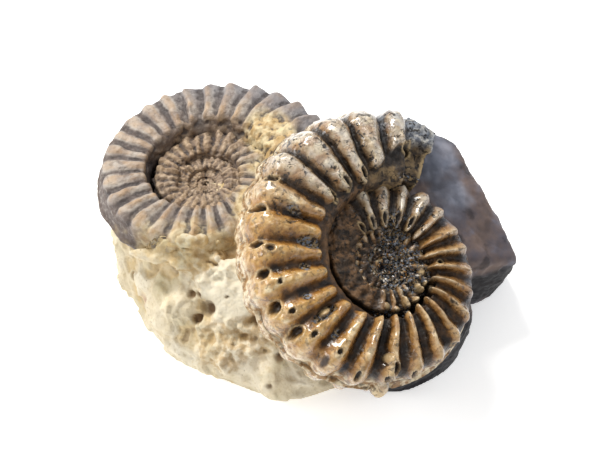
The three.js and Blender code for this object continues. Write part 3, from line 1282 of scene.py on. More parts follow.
class Palette:
    """A material under construction: a chain of nodes from places and fields to the shader."""

    def __init__(self, name: str) -> None:
        """Starts a material with its shader and the places on it, in millimetres."""
        self.material = bpy.data.materials.new(name)
        self.material.use_nodes = True
        self.tree = self.material.node_tree
        self.tree.nodes.clear()
        self.shader = self.tree.nodes.new("ShaderNodeBsdfPrincipled")
        output = self.tree.nodes.new("ShaderNodeOutputMaterial")
        self.plug(output.inputs["Surface"], self.shader.outputs["BSDF"])
        scale = self.node("ShaderNodeVectorMath", operation="SCALE")
        self.plug(scale.inputs["Scale"], 1 / MM)
        self.plug(scale.inputs[0], self.tree.nodes.new("ShaderNodeTexCoord").outputs["Object"])
        self.places = scale.outputs[0]

    def node(self, kind: str, **settings: str) -> bpy.types.Node:
        """A new node with its settings."""
        node = self.tree.nodes.new(kind)
        for name, value in settings.items():
            setattr(node, name, value)
        return node

    def plug(self, target: Socket, value: Value) -> None:
        """Links a socket to a node's output, or sets its value."""
        if isinstance(value, bpy.types.NodeSocket):
            self.tree.links.new(value, target)
        else:
            target.default_value = value

    def field(self, name: str) -> Socket:
        """A field of the mesh."""
        return self.node("ShaderNodeAttribute", attribute_name=name).outputs["Fac"]

    def shifted(self, shift: float) -> Socket:
        """The places, moved by a distance so that two patterns don't match."""
        node = self.node("ShaderNodeVectorMath", operation="ADD")
        self.plug(node.inputs[0], self.places)
        self.plug(node.inputs[1], (shift, shift, shift))
        return node.outputs[0]

    def texture(self, kind: str, source: Cloud | Cells, **settings: str) -> bpy.types.Node:
        """A texture at the size and shift of its source."""
        node = self.node(kind, **settings)
        self.plug(node.inputs["Scale"], 1 / source.size)
        self.plug(node.inputs["Vector"], self.shifted(source.shift))
        return node

    def cloud(self, source: Cloud) -> Socket:
        """Cloudy noise."""
        node = self.texture("ShaderNodeTexNoise", source)
        self.plug(node.inputs["Detail"], source.detail)
        self.plug(node.inputs["Distortion"], source.warp)
        return node.outputs["Fac"]

    def cells(self, source: Cells) -> Socket:
        """The distances of a pattern of grains."""
        feature = "DISTANCE_TO_EDGE" if source.edges else "F1"
        return self.texture("ShaderNodeTexVoronoi", source, feature=feature).outputs["Distance"]

    def step(self, source: Step) -> Socket:
        """A smooth step over a mask."""
        node = self.node("ShaderNodeMapRange", interpolation_type="SMOOTHSTEP")
        self.plug(node.inputs["From Min"], source.low)
        self.plug(node.inputs["From Max"], source.high)
        self.plug(node.inputs["To Min"], source.first)
        self.plug(node.inputs["To Max"], source.last)
        self.plug(node.inputs["Value"], self.mask(source.mask))
        return node.outputs["Result"]

    def mask(self, source: Mask) -> Value:
        """The value of a mask.

        Args:
            source: a number, the name of a field, a pattern, a step, or a tuple of masks for the highest one.

        Returns:
            A number, or the output of its last node.
        """
        if isinstance(source, tuple):
            first, *rest = source
            highest = self.mask(first)
            return self.math("MAXIMUM", highest, self.mask(tuple(rest))) if rest else highest
        makers = {str: self.field, Cloud: self.cloud, Cells: self.cells, Step: self.step}
        return makers.get(type(source), float)(source)

    def colour(self, source: Colour) -> Value:
        """A colour from a hex code, or one laid over another."""
        if isinstance(source, str):
            return paint(source)
        return self.over(self.mask(source.mask), self.colour(source.below), self.colour(source.above))

    def ramp(self, value: Value, stops: tuple[tuple[float, str], ...]) -> Socket:
        """The colour at a value between 0 and 1, from places and hex codes of colours."""
        node = self.tree.nodes.new("ShaderNodeValToRGB")
        ends = node.color_ramp.elements
        for place, _ in stops[1:-1]:
            ends.new(place)
        for end, (place, code) in zip(ends, stops):
            end.position = place
            end.color = paint(code)
        self.plug(node.inputs["Fac"], value)
        return node.outputs["Color"]

    def math(self, operation: str, first: Value, second: Value = 0.0) -> Socket:
        """A sum, product or other mathematical result of two values."""
        node = self.node("ShaderNodeMath", operation=operation)
        self.plug(node.inputs[0], first)
        self.plug(node.inputs[1], second)
        return node.outputs[0]

    def product(self, masks: tuple[Mask, ...]) -> Value:
        """The product of masks."""
        product, *others = [self.mask(source) for source in masks]
        for value in others:
            product = self.math("MULTIPLY", product, value)
        return product

    def over(self, amount: Value, below: Value, above: Value) -> Socket:
        """One colour laid over another by an amount."""
        node = self.node("ShaderNodeMix", data_type="RGBA")
        self.plug(node.inputs["Factor"], amount)
        self.plug(node.inputs[6], below)
        self.plug(node.inputs[7], above)
        return node.outputs[2]

    def bump(self, height: Value, depth: float, normal: Socket | None) -> Socket:
        """A normal bent by a height between 0 and 1, which stands for depth millimetres."""
        node = self.tree.nodes.new("ShaderNodeBump")
        self.plug(node.inputs["Distance"], depth * MM)
        self.plug(node.inputs["Height"], height)
        if normal is not None:
            self.plug(node.inputs["Normal"], normal)
        return node.outputs["Normal"]


@dataclass(frozen=True)
class Finish:
    """A finish: a base colour with layers over it, a roughness, and bumps with their depths in millimetres.

    Sockets are other inputs of the shader, each with its value.
    """

    name: str
    base: Colour
    layers: tuple[Layer, ...]
    roughness: Mask
    bumps: Bumps
    sockets: Sockets = ()

    def ground(self, p: Palette) -> Value:
        """The colour below the layers."""
        return p.colour(self.base)

    def shine(self, p: Palette) -> Value:
        """The roughness."""
        return p.mask(self.roughness)

    def material(self) -> bpy.types.Material:
        """Mixes the finish."""
        p = Palette(self.name)
        colour = self.ground(p)
        for layer in self.layers:
            colour = p.over(p.product(layer.masks), colour, p.colour(layer.colour))
        normal = None
        for cloud, depth in self.bumps:
            normal = p.bump(p.mask(cloud), depth, normal)
        results = (("Base Color", colour), ("Roughness", self.shine(p)), ("Normal", normal), *self.sockets)
        for socket, value in results:
            p.plug(p.shader.inputs[socket], value)
        return p.material


@dataclass(frozen=True)
class GlossyShell(Finish):
    """Glazed shell: ochre and gold with cream crests, over dark brown grooves.

    The ground goes from warm to pale colours where the shell is creamy, each by a level that is lowest in the
    darkest grooves and highest on the crests: partly the shell's own colour, partly painted shade in the
    grooves and a painted highlight on the crests. Cream patches on the crests are a painted highlight, slate
    where the shell is cool is a painted blue-grey sky reflection, and near-black is painted shade in hollows,
    holes, cracks and gaps and partly painted shade in pools along the grooves. The shell is coated on its ribs,
    but not where it is matt.
    """

    gold: str = "#8f5f27"
    cream: str = "#dfd1b2"
    umber: str = "#5a3b1b"
    deep_brown: str = "#150d07"
    slate: str = "#7b8390"
    tan: str = "#96805f"
    smoke: str = "#7a5a3a"
    bistre: str = "#3a2b1c"
    night: str = "#1b1c26"
    bark: str = "#3c3026"
    clay: str = "#8a7350"
    lead: str = "#5f636c"
    silver: str = "#b3b1ab"
    honey: str = "#96703f"
    bone: str = "#e0cfae"
    sand: str = "#cbb184"

    name: str = "glazed_shell"
    base: Colour = cream
    # This ramp and the pale one run from grooves to crests: partly the shell's own colours, partly painted
    # shade at the dark end and a painted highlight at the pale end.
    warm: Stops = (
        (0.0, "#25190f"), (0.2, "#523617"), (0.42, "#8c5f28"),
        (0.62, "#b0813f"), (0.85, "#c29a59"), (1.0, "#e2cfa6"),
    )
    pale: Stops = (
        (0.0, "#26211e"), (0.2, "#41362d"), (0.4, "#7a6247"),
        (0.58, "#aa9577"), (0.78, "#bbafa0"), (1.0, "#dcd5c9"),
    )
    paleness: Mask = Step("cream", 0.0, 1.0)
    floor: Mask = Step("dark", 0.0, 1.0, 0.46, 0.02)
    crest: float = 0.86
    unevenness: tuple[Cloud, float] = (Cloud(1.9, 5, 9), 0.9)
    layers: tuple[Layer, ...] = (
        # Painted highlight: cream patches along the crests.
        Layer(cream, (Step("rib", 0.72, 0.98), Step(Cloud(1.5, 5, 35), 0.42, 0.6), 0.55,
                      Step("cream", 0.05, 0.9, 0.35, 1.0))),
        Layer(gold, (Step(Cloud(3.2, 4, 21), 0.5, 0.66), Step("rib", 0.2, 0.6), 0.55)),
        Layer(umber, (Step(Cloud(0.9, 5, 71, 0.4), 0.5, 0.62), Step("cream", 0.1, 0.8, 0.26, 0.1))),
        # Near-black pools in the grooves: partly the shell's own colour, partly painted shade.
        Layer(deep_brown, (Step("rib", 0.45, 0.1), Step(Cloud(3.4, 4, 46), 0.56, 0.62), 0.85)),
        Layer(Blend(Step(Cloud(1.8, 4, 52), 0.36, 0.62), smoke, bistre), ("smudge", 0.85)),
        # Painted shade: near-black in the hollows.
        Layer(deep_brown, (Step("hollow", 0.54, 0.7), Step(Cloud(0.7, 4, 5), 0.3, 0.6, 0.5, 1.0),
                     Step("dark", 0.3, 1.0, 0.2, 0.85))),
        Layer(Blend(Step(Cloud(1.6, 4, 27), 0.35, 0.65), bark, clay), ("plane", 0.92)),
        Layer(Blend(Step(Cloud(1.0, 4, 28), 0.4, 0.6), lead, silver), ("worn", 0.92)),
        # Painted blue-grey sky reflection where the shell is cool.
        Layer(slate, ("cool", Step(Cloud(1.8, 4, 33), 0.35, 0.6), 0.8)),
        Layer(Blend(Step(Cloud(1.1, 4, 37), 0.4, 0.6), honey, bone), ("keel", 0.85)),
        Layer(sand, ("rim", 0.75)),
        Layer(night, ("stain", 0.9)),
        Layer(deep_brown, (Step(Cloud(1.1, 6, 2, 0.6), 0.55, 0.6), Step(Cloud(3.0, 4, 3), 0.36, 0.5),
                     Step("cream", 0.1, 0.9, 0.45, 0.95))),
        Layer(deep_brown, (Step(Cells(0.9, True, 4), 0.05, 0.015), Step(Cloud(2.5, 3, 14), 0.45, 0.56),
                     "cream", 0.85)),
        Layer(Blend(Step(Cloud(0.7, 4, 62), 0.53, 0.6),
                    Blend(Step(Cloud(0.6, 4, 61), 0.48, 0.56), deep_brown, tan), slate), ("grit", 0.93)),
        # Painted shade: near-black in holes, cracks and gaps.
        Layer(deep_brown, (("hole", "crack"), 0.93)),
    )
    matt: Mask = (("plane", "smudge", "worn"), "stain", "hole", "crack")
    coat: tuple[Mask, ...] = (Step(matt, 0.0, 1.0, 1.0, 0.1), Step("rib", 0.1, 0.6, 0.05, 0.9))
    roughness: Mask = Step(Cloud(1.5, 4, 11), 0.3, 0.7, 0.14, 0.4)
    matt_roughness: float = 0.3
    groove_roughness: Mask = Step("rib", 0.4, 0.0, 0.0, 0.22)
    bumps: Bumps = (
        (Cloud(1.6, 4, 47), 0.4), (Cloud(0.8, 5, 7), 0.22), (Cloud(0.28, 3, 17), 0.06),
    )
    sockets: Sockets = (("Coat Roughness", 0.1), ("Specular IOR Level", 0.4))

    def ground(self, p: Palette) -> Value:
        """The colour of crests and grooves."""
        # Lower in the grooves and higher on the crests: partly the shell's own colour, partly painted shade and
        # a painted highlight.
        cloud, strength = self.unevenness
        uneven = p.math("MULTIPLY", p.math("SUBTRACT", p.mask(cloud), 0.5), strength)
        floor = p.mask(self.floor)
        rise = p.math("MULTIPLY", p.field("rib"), p.math("SUBTRACT", self.crest, floor))
        level = p.math("ADD", p.math("ADD", floor, rise), uneven)
        return p.over(p.mask(self.paleness), p.ramp(level, self.warm), p.ramp(level, self.pale))

    def shine(self, p: Palette) -> Value:
        """The roughness. The coat is plugged in here as well."""
        p.plug(p.shader.inputs["Coat Weight"], p.product(self.coat))
        matt = p.product((self.matt, self.matt_roughness))
        return p.math("ADD", p.mask(self.roughness), p.math("MAXIMUM", matt, p.mask(self.groove_roughness)))


@dataclass(frozen=True)
class DullShell(Finish):
    """Worn shell: mauve-grey ribs with ochre edges and a brown, granular middle."""

    taupe: str = "#b0a79d"
    mauve: str = "#93877f"
    ochre: str = "#b98f58"
    umber: str = "#594c46"
    deep_brown: str = "#3a3231"
    slate: str = "#7b808c"
    tan: str = "#b39a7c"
    earth: str = "#8b7258"
    cream: str = "#dac9a0"
    buff: str = "#b99a66"

    name: str = "dull_shell"
    base: Colour = Blend(Step(Cloud(4.0, 5), 0.38, 0.62), taupe, mauve)
    layers: tuple[Layer, ...] = (
        Layer(umber, (Step(Cloud(1.7, 6, 31, 0.5), 0.5, 0.64), 0.5)),
        Layer(ochre, (Step(Cloud(3.0, 5, 6), 0.3, 0.7), Step("cream", 0.0, 1.0, 0.15, 0.55),
                      Step("rib", 0.35, 0.75))),
        # Umber in the grooves: partly the shell's own colour, partly painted shade.
        Layer(umber, (Step("rib", 0.45, 0.0), Step("dark", 0.0, 1.0, 0.3, 0.95),
                      Step(Cloud(0.8, 4, 2), 0.3, 0.5, 0.6, 1.0))),
        Layer(Blend(Step(Cloud(1.3, 5, 60), 0.4, 0.6), earth, tan), ("worn", 0.9)),
        # Umber in the grooves of the worn middle: partly the shell's own colour, partly painted shade.
        Layer(umber, ("worn", Step("rib", 0.35, 0.0, 0.0, 0.55))),
        Layer(slate, ("cool", 0.5)),
        Layer(Blend(Step(Cloud(2.6, 6, 70), 0.4, 0.6), cream, buff), ("crust", 0.92)),
        # Painted shade: dark brown in the hollows.
        Layer(deep_brown, (Step("hollow", 0.52, 0.95), Step(Cloud(1.4, 5, 81), 0.35, 0.6, 0.3, 0.9))),
        # Painted shade: dark brown in the gaps.
        Layer(deep_brown, ("crack", 0.9)),
    )
    roughness: Mask = Step(Cloud(0.8, 4, 2), 0.3, 0.7, 0.45, 0.7)
    bumps: Bumps = ((Cloud(0.8, 5, 7), 0.32), (Cloud(0.3, 3, 17), 0.09))


@dataclass(frozen=True)
class Limestone(Finish):
    """Soft pale limestone, with ochre stains near the shells."""

    cream: str = "#e0d7c2"
    sand: str = "#d2c4a6"
    ochre: str = "#cbad72"
    khaki: str = "#b0a67e"
    drab: str = "#b9a77f"
    tan: str = "#a98a58"
    brown: str = "#6b4f30"
    pink: str = "#9c7668"
    chalk: str = "#ded8c6"
    ivory: str = "#d3c9af"

    name: str = "pale_limestone"
    base: Colour = Blend(Step(Cloud(7.0, 6), 0.3, 0.7), cream, sand)
    layers: tuple[Layer, ...] = (
        Layer(khaki, (Step(Cloud(9.0, 5, 50), 0.45, 0.7), 0.6)),
        Layer(drab, (Step(Cloud(0.7, 5, 63), 0.5, 0.66), 0.4)),
        Layer(ochre, ("near", Step(Cloud(2.6, 5, 8), 0.38, 0.66), 0.65)),
        # Painted shade in low ground, tinted ochre.
        Layer(ochre, (Step("sunk", 0.5, 0.85), Step(Cloud(3.0, 5, 18), 0.3, 0.65, 0.4, 1.0), 0.55)),
        Layer(tan, ("rough", Step(Cloud(1.8, 5, 28), 0.42, 0.6), 0.6)),
        Layer(Blend(Cloud(0.9, 5, 3), chalk, ivory), ("facet", 0.9)),
        # Painted shade: brown in the deepest low ground.
        Layer(brown, (Step("sunk", 0.85, 1.0, 0.0, 0.5),)),
        # Painted shade: brown in the holes.
        Layer(brown, ("hole", 0.85)),
        # The rock's own pink.
        Layer(pink, ("tint", 0.6)),
        Layer(brown, (Step(Cells(1.3, False, 5), 0.16, 0.07), Step(Cloud(5.0, 2, 2), 0.5, 0.62), 0.6)),
    )
    roughness: Mask = Step(Cloud(0.9, 5, 3), 0.3, 0.7, 0.75, 0.95)
    bumps: Bumps = ((Cloud(1.6, 6, 7), 0.45), (Cloud(0.5, 4, 9), 0.14))


@dataclass(frozen=True)
class Mudstone(Finish):
    """Dark, smooth mudstone: mauve-brown with slate edges, with painted shade making its lower faces near-black
    and a painted blue-grey sky reflection on its top.
    """

    brown: str = "#75645d"
    grey: str = "#56525a"
    slate: str = "#737584"
    black: str = "#121318"
    steel: str = "#747b8b"
    haze: str = "#979cab"

    name: str = "dark_mudstone"
    base: Colour = Blend(Step(Cloud(7.0, 6), 0.35, 0.65), brown, grey)
    layers: tuple[Layer, ...] = (
        Layer(slate, (Step(Cloud(4.5, 6, 12), 0.5, 0.68), 0.55)),
        Layer(black, (Step(Cloud(5.0, 6, 31), 0.55, 0.68), 0.6)),
        # Painted blue-grey sky reflection on the top.
        Layer(Blend(Step(Cloud(5.0, 5, 28), 0.4, 0.6), steel, haze), ("frost", 0.75)),
        # Painted shade: black in low ground.
        Layer(black, (Step("sunk", 0.5, 0.8), 0.5)),
        # Painted shade: black on the lower faces.
        Layer(black, (Step("tint", 0.1, 0.6), 0.95)),
    )
    roughness: Mask = Step(Cloud(0.9, 5, 3), 0.3, 0.7, 0.5, 0.7)
    bumps: Bumps = ((Cloud(1.6, 5, 7), 0.16), (Cloud(0.9, 5, 3), 0.05))
    sockets: Sockets = (("Specular IOR Level", 0.2),)


@dataclass(frozen=True)
class Grit(Finish):
    """Glittering grains: most are black, some slate, amber or white."""

    black: str = "#19191c"
    slate: str = "#656c76"
    amber: str = "#8a6334"
    white: str = "#cfc9c0"

    name: str = "grit_grains"
    base: Colour = black
    layers: tuple[Layer, ...] = (
        Layer(slate, (Step("shade", 0.5, 0.55),)),
        Layer(amber, (Step("shade", 0.74, 0.78),)),
        Layer(white, (Step("shade", 0.9, 0.93),)),
    )
    roughness: Mask = Step(Cloud(0.5), 0.3, 0.7, 0.1, 0.3)
    bumps: Bumps = ((Cloud(0.2), 0.02),)


@dataclass(frozen=True)
class Paper(Finish):
    """The plain pale floor, which glows a little."""

    snow: str = "#fbfbfb"
    white: str = "#ffffff"
    glow: float = 0.45

    name: str = "white_floor"
    base: Colour = Blend(Cloud(60.0), snow, white)
    layers: tuple[Layer, ...] = ()
    roughness: Mask = 0.9
    bumps: Bumps = ((Cloud(5.0), 0.01),)
    sockets: Sockets = (("Emission Color", (1.0, 1.0, 1.0, 1.0)), ("Emission Strength", glow))


@dataclass(frozen=True)
class Lamp:
    """A soft square lamp, with its place and size in metres and its power in watts."""

    name: str
    place: Point
    size: float
    power: float
    colour: Point

    def build(self, target: Point) -> None:
        """Hangs the lamp up so that it faces a target."""
        light = bpy.data.lights.new(self.name, "AREA")
        light.size, light.energy, light.color = self.size, self.power, self.colour
        lamp = bpy.data.objects.new(self.name, light)
        bpy.context.scene.collection.objects.link(lamp)
        lamp.location = self.place
        lamp.rotation_euler = (Vector(target) - Vector(self.place)).to_track_quat("-Z", "Y").to_euler()


@dataclass(frozen=True)
class Studio:
    """The floor, the sky, the lamps and the camera. Lengths here are metres."""

    camera_place: Point = (0.0, -0.1161, 0.1583)
    camera_tilt: float = 40.0
    lens: float = 50.0
    floor_size: float = 2.0
    sky_colour: tuple[float, ...] = (1.0, 0.985, 0.965, 1.0)
    sky_strength: float = 0.45
    target: Point = (0.0, 0.0, 0.02)
    lamps: tuple[Lamp, ...] = (
        Lamp("key", (-0.14, 0.2, 0.4), 0.14, 2.0, (1.0, 0.97, 0.92)),
        Lamp("fill", (0.4, 0.15, 0.3), 0.3, 0.4, (0.8, 0.88, 1.0)),
        Lamp("front", (-0.25, -0.45, 0.4), 0.4, 0.42, (1.0, 0.98, 0.95)),
        Lamp("left", (-0.42, -0.02, 0.24), 0.16, 0.75, (1.0, 1.0, 1.0)),
    )

    def floor(self) -> None:
        """Lays a white floor."""
        half = self.floor_size / 2
        corners = [(-half, -half, 0), (half, -half, 0), (half, half, 0), (-half, half, 0)]
        mesh = bpy.data.meshes.new("floor")
        mesh.from_pydata(corners, [], [(0, 1, 2, 3)])
        floor = bpy.data.objects.new("floor", mesh)
        bpy.context.scene.collection.objects.link(floor)
        mesh.materials.append(Paper().material())

    def lights(self) -> None:
        """A bright lamp behind and above, a cool one from the right, softer ones, and an even white sky."""
        world = bpy.data.worlds.new("sky")
        world.use_nodes = True
        background = world.node_tree.nodes["Background"]
        background.inputs["Color"].default_value = self.sky_colour
        background.inputs["Strength"].default_value = self.sky_strength
        bpy.context.scene.world = world
        for lamp in self.lamps:
            lamp.build(self.target)

    def camera(self) -> None:
        """A camera that looks down at the specimen."""
        data = bpy.data.cameras.new("camera")
        data.lens = self.lens
        camera = bpy.data.objects.new("camera", data)
        camera.location = self.camera_place
        camera.rotation_euler = (math.radians(self.camera_tilt), 0, 0)
        bpy.context.scene.collection.objects.link(camera)
        bpy.context.scene.camera = camera

    def build(self) -> None:
        """Sets the studio up."""
        bpy.context.scene.view_settings.view_transform = "Standard"
        self.camera()
        self.lights()
        self.floor()


def features(kind: Kind, *rows: tuple[float, ...]) -> list[Feature]:
    """Features of one kind, from rows of their rib numbers, shares, lengths, widths and depths."""
    return [Feature(kind, *row) for row in rows]


def glossy_features() -> tuple[Feature, ...]:
    """The bores, pits, grit, knobs and spots of the larger shell."""
    return (
        *features(Kind.BORE, *((rib, 0.575, 2.5, 1.25, 1.5) for rib in (1.9, 2.9, 3.86))),
        *features(Kind.BORE, *((rib, 0.55, 1.9, 0.85, 0.9) for rib in (23.25, 24.4, 25.55, 26.7, 27.8))),
        *features(
            Kind.PIT,
            (4.62, 0.95, 2.2, 1.9, 1.1), (5.58, 0.955, 2.6, 1.5, 1.2), (6.68, 0.95, 2.0, 1.4, 1.0),
            (7.6, 0.945, 1.9, 1.8, 1.1), (8.65, 0.955, 1.6, 2.1, 1.1), (9.6, 0.945, 2.3, 1.6, 1.2),
            (6.85, 0.885, 1.5, 1.2, 0.7), (7.95, 0.875, 0.8, 1.0, 0.5), (8.97, 0.89, 1.3, 0.9, 0.7),
            (9.98, 0.885, 1.1, 1.2, 0.7), (11.0, 0.885, 1.0, 0.9, 0.7),
        ),
        *features(Kind.BORE, *((rib, 0.95, 1.1, 1.0, 0.8) for rib in (11.93, 12.93, 13.93, 14.93, 15.93))),
        *features(
            Kind.GRIT,
            (6.5, 0.62, 5.2, 2.6, 0.5), (7.6, 0.69, 2.2, 1.6, 0.3), (8.75, 0.76, 2.0, 1.5, 0.3),
            (10.55, 0.79, 2.4, 1.3, 0.3), (9.68, 0.74, 6.2, 1.9, 1.0), (5.3, 0.76, 2.6, 1.5, 0.4),
            (-0.85, 0.51, 2.6, 7.0, 0.3),
        ),
        Feature(Kind.KNOB, 9.62, 0.72, 2.8, 1.3, 1.3),
        Feature(Kind.PIT, -0.42, 0.73, 2.0, 2.2, 1.2),
        *features(
            Kind.KNOB,
            (36.4, 0.75, 1.8, 1.3, 0.6), (37.2, 0.86, 2.2, 1.6, 0.8), (38.0, 0.76, 2.4, 1.5, 0.9),
            (38.9, 0.86, 2.0, 1.5, 0.8), (39.8, 0.74, 2.2, 1.4, 0.8), (40.6, 0.85, 1.8, 1.3, 0.7),
            (41.5, 0.74, 1.8, 1.2, 0.6),
        ),
        *features(Kind.STAIN, (10.8, 0.95, 1.7, 1.4), (11.5, 0.95, 1.9, 1.3)),
        *features(Kind.KNOB, (13.1, 1.03, 3.0, 3.2, 1.6), (12.8, 0.84, 1.9, 1.8, 0.7)),
        *features(Kind.BORE, (13.15, 0.9, 1.6, 1.4, 1.0), (19.4, 0.55, 0.9, 0.9, 0.6)),
    )


def glossy_ammonite() -> GlossyAmmonite:
    """The larger shell with its sizes."""
    return GlossyAmmonite(
        coil=Coil(
            place=(13.5, -14.8, 25.2),
            tilt=(20.5, 18.3, 0.0),
            radius=31.7,
            expansion=1.93,
            aperture=85.8,
            rib_pitch=13.63,
            pitch_growth=0.034,
            drift=(1.4, 0.8),
        ),
        styles=(
            RibStyle(0.0, 0.30, 0.30, 0.3, 0.3, 0.060, 0.72, 1.0, 1.0, 1.0),
            RibStyle(0.6, 0.42, 0.46, 0.3, 0.15, 0.064, 0.60, 0.9, 1.0, 1.0),
            RibStyle(1.0, 0.42, 0.46, 0.3, 0.15, 0.064, 0.57, 0.85, 1.0, 1.0),
            RibStyle(2.0, 0.43, 0.47, 0.3, 0.2, 0.062, 0.50, 0.78, 1.0, 1.0),
            RibStyle(4.0, 0.45, 0.48, 0.2, 0.5, 0.055, 0.54, 0.7, 0.75, 0.99),
            RibStyle(5.5, 0.50, 0.50, 0.1, 0.9, 0.042, 0.54, 0.62, 0.15, 0.98),
            RibStyle(9.0, 0.50, 0.50, 0.1, 1.0, 0.048, 0.54, 0.62, 0.05, 0.98),
            RibStyle(11.0, 0.42, 0.46, 0.1, 0.9, 0.060, 0.53, 0.7, 0.15, 0.96),
            RibStyle(12.5, 0.40, 0.42, 0.1, 0.9, 0.080, 0.50, 0.8, 0.3, 0.94),
            RibStyle(16.0, 0.50, 0.34, 0.0, 1.2, 0.080, 0.45, 0.72, 0.35, 0.90),
            RibStyle(18.0, 0.70, 0.28, 0.0, 1.6, 0.090, 0.44, 0.58, 0.42, 0.85),
            RibStyle(21.5, 0.70, 0.28, 0.0, 1.6, 0.090, 0.44, 0.58, 0.42, 0.85),
            RibStyle(23.0, 0.40, 0.42, 0.0, 0.6, 0.09, 0.46, 0.75, 1.0),
            RibStyle(27.0, 0.40, 0.42, 0.0, 0.6, 0.09, 0.46, 0.7, 1.0),
            RibStyle(36.0, 0.38, 0.42, 0.0, 0.6, 0.08, 0.46, 0.8, 0.5),
        ),
        broken_end=17.0,
        innermost=-1900.0,
        column_space=0.27,
        upper_space=0.0089,
        lower_space=0.022,
        ragged=0.8,
        features=glossy_features(),
        strays=((21.0, 0.0), (23.2, 0.2), (25.5, 0.5), (27.8, 0.8), (32.0, 1.0)),
        cracks=(
            Crack(((5.1, 0.99), (5.25, 0.9), (5.15, 0.82), (5.5, 0.74), (5.45, 0.66)), 0.2, 0.6),
            Crack(((5.25, 0.9), (5.65, 0.85), (5.9, 0.77), (5.75, 0.7)), 0.2, 0.5),
            Crack(((4.9, 0.88), (5.15, 0.82)), 0.16, 0.4),
            Crack(((16.9, 0.47), (16.6, 0.7), (16.3, 1.0)), 0.3, 0.5),
            Crack(((17.3, 0.5), (16.95, 0.75), (16.7, 1.0)), 0.22, 0.35),
        ),
    )


def dull_ammonite() -> DullAmmonite:
    """The smaller shell with its sizes."""
    return DullAmmonite(
        coil=Coil(
            place=(-22.3, 11.4, 21.1),
            tilt=(2.5, 0.0, 0.0),
            radius=27.7,
            expansion=1.86,
            aperture=66.2,
            rib_pitch=12.4,
            pitch_growth=0.012,
        ),
        styles=(
            RibStyle(-5.0, 0.26, 0.70, 0.0, 1.4, 0.062, 0.50, 0.4, 1.0, 0.92),
            RibStyle(3.0, 0.26, 0.70, 0.0, 1.4, 0.050, 0.50, 0.6, 0.9, 0.88),
            RibStyle(5.0, 0.44, 0.52, 0.1, 1.0, 0.032, 0.50, 1.0, 0.5, 0.88),
            RibStyle(10.0, 0.44, 0.52, 0.1, 1.0, 0.034, 0.50, 1.0, 0.6, 0.88),
            RibStyle(13.0, 0.62, 0.36, 0.0, 1.4, 0.050, 0.50, 1.0, 1.0, 0.90),
            RibStyle(18.0, 0.62, 0.36, 0.0, 1.4, 0.054, 0.50, 1.0, 1.0, 0.90),
            RibStyle(24.0, 0.40, 0.44, 0.1, 0.8, 0.060, 0.48, 0.8, 0.9),
        ),
        broken_end=62.0,
        innermost=-1800.0,
        column_space=0.38,
        upper_space=0.0115,
        lower_space=0.03,
        ragged=0.4,
        features=(Feature(Kind.KNOB, 16.17, 0.83, 1.8, 1.8, 0.4),),
        slimming=((0.5, 1.05), (1.0, 1.05)),
        wobble=Relief(0.12, 5.0, 2),
        variety=0.2,
        seed=5,
    )


def limestone() -> Rock:
    """The pale rock with its sizes."""
    main_faces = (
        (180, -5, 30.5), (212, -5, 25), (245, -5, 27), (278, -5, 36), (305, -5, 38), (175, 15, 29.5),
        (205, 28, 22), (235, 40, 18.5), (265, 43, 20.5), (300, 35, 27), (0, 0, 24), (45, 5, 30), (90, 8, 30),
        (135, 5, 32), (90, 88, 13), (0, -90, 20),
    )
    foot_faces = (
        (313, 63, 17), (133, 20, 22.5), (90, 15, 20.5), (180, 10, 18.5), (225, 5, 18), (270, 0, 18),
        (0, 0, 11), (45, 0, 15), (0, -90, 22),
    )
    return Rock(
        name="pale_rock",
        lumps=(Lump((-15.0, 3.0, 9.0), main_faces), Lump((4.0, -8.0, 10.0), foot_faces)),
        low=(-49.0, -40.0, -2.0),
        high=(27.0, 41.0, 34.0),
        cell=0.45,
        roughness=0.4,
        grain=5.0,
        ledges=1.8,
        ledge_size=10.0,
        collars=(Collar(1, 1.4, 25.8, -6.5),),
        spots=(
            RockSpot(Spot.FACET, (-15.6, -15.0, 18.6), 6.0, 0.7),
            RockSpot(Spot.BOSS, (-26.0, -15.4, 12.6), 4.0, 2.2),
            RockSpot(Spot.HOLE, (-22.7, -17.6, 12.2), 1.2, 1.4),
            RockSpot(Spot.HOLLOW, (-20.4, -16.6, 14.4), 2.9, 2.6),
            RockSpot(Spot.HOLE, (-20.2, -16.9, 14.6), 1.1, 0.6),
            RockSpot(Spot.HOLE, (-23.6, -13.8, 15.6), 0.9, 0.9),
            RockSpot(Spot.HOLE, (-21.9, -14.2, 16.2), 0.7, 0.8),
            RockSpot(Spot.HOLE, (-15.8, -16.0, 17.9), 0.4, 0.8),
            # A pink spot of the rock's own colour.
            RockSpot(Spot.TINT, (-35.2, -9.9, 7.7), 1.7),
            RockSpot(Spot.HOLE, (-38.0, -4.6, 9.6), 1.0, 0.8),
            RockSpot(Spot.ROUGH, (-17.2, -22.5, 10.0), 6.5, 1.1),
            RockSpot(Spot.ROUGH, (-11.0, -21.5, 13.0), 4.5, 0.9),
            RockSpot(Spot.ROUGH, (-22.0, -9.5, 22.0), 7.0, 0.9),
            RockSpot(Spot.ROUGH, (-15.0, -9.5, 22.0), 6.0, 1.0),
            RockSpot(Spot.BOSS, (-16.4, -23.9, 8.4), 1.2, 0.8),
            RockSpot(Spot.BOSS, (-20.8, -22.8, 6.2), 1.4, 0.8),
            RockSpot(Spot.HOLE, (-9.9, -19.9, 14.9), 1.1, 1.4),
            RockSpot(Spot.HOLE, (-5.1, -24.8, 9.8), 1.1, 1.0),
            RockSpot(Spot.BOSS, (-3.0, -26.5, 5.0), 8.0, 0.9),
            RockSpot(Spot.HOLLOW, (-8.9, -25.6, 9.6), 2.6, 1.2),
            RockSpot(Spot.HOLE, (-7.0, -27.7, 5.3), 0.7, 0.7),
            RockSpot(Spot.HOLLOW, (-1.5, -28.6, 4.0), 2.0, 0.9),
        ),
        seed=11,
    )


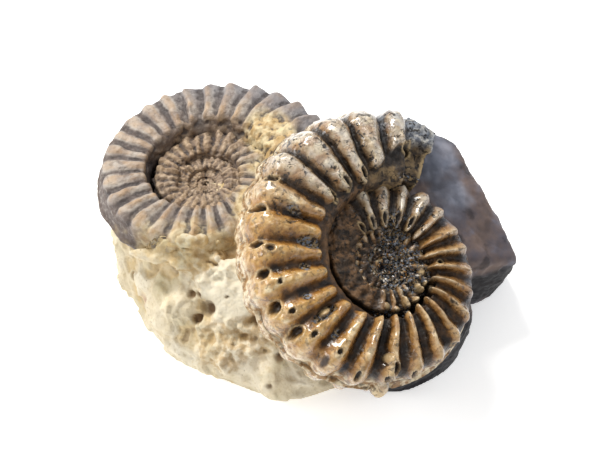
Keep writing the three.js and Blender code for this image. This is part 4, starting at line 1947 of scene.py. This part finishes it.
def mudstone() -> Rock:
    """The dark rock with its sizes."""
    main_faces = (
        (313, 63, 14), (5, 5, 22), (317, -17, 17.8), (21, 17, 18.5), (55, 15, 21.9), (80, 10, 24),
        (115, 10, 18), (150, 0, 18), (200, 0, 16), (280, -8, 9.5), (0, -90, 22),
    )
    foot_faces = (
        (313, 63, 11), (0, 0, 12.5), (330, -5, 12.3), (300, -5, 12.3), (270, -5, 14.5), (240, 0, 16.5),
        (180, 0, 14), (90, 0, 14), (0, -90, 20),
    )
    return Rock(
        name="dark_rock",
        lumps=(Lump((24.0, 0.0, 12.0), main_faces, 34), Lump((22.0, -14.0, 8.0), foot_faces)),
        low=(2.0, -36.0, -2.0),
        high=(50.0, 31.0, 40.0),
        cell=0.42,
        roughness=0.25,
        grain=6.0,
        ledges=0.5,
        ledge_size=9.0,
        blend=2.0,
        spots=(
            # These spots paint shade on the lower faces.
            RockSpot(Spot.TINT, (42.3, -9.0, 8.0), 10.0),
            RockSpot(Spot.TINT, (36.0, -10.0, 7.0), 10.0),
            RockSpot(Spot.TINT, (45.0, -1.0, 6.0), 9.0),
            RockSpot(Spot.TINT, (32.0, -22.0, 6.0), 12.0),
            RockSpot(Spot.TINT, (20.0, -30.0, 5.0), 12.0),
            # These spots paint a blue-grey sky reflection on the top.
            RockSpot(Spot.FROST, (28.5, 11.0, 31.0), 7.0),
            RockSpot(Spot.FROST, (30.0, 4.0, 27.0), 5.0),
        ),
        seed=23,
    )


def main() -> None:
    """Builds the studio and the specimen, and logs each piece's triangle count."""
    Studio().build()
    front, rear = glossy_ammonite(), dull_ammonite()
    glaze, dull = GlossyShell().material(), DullShell().material()
    shells = front.build()
    for piece in shells:
        settle(piece, "front_ammonite", glaze)
    for piece in rear.build():
        settle(piece, "rear_ammonite", dull)
    grains = Grains("front_grit", count=4500, smallest=0.12, largest=0.7).build(shells[1])
    settle(grains, "front_ammonite", Grit().material())
    settle(limestone().build([front, rear]), "pale_limestone", Limestone().material())
    settle(mudstone().build([front, rear]), "dark_mudstone", Mudstone().material())


if __name__ == "__main__":
    main()
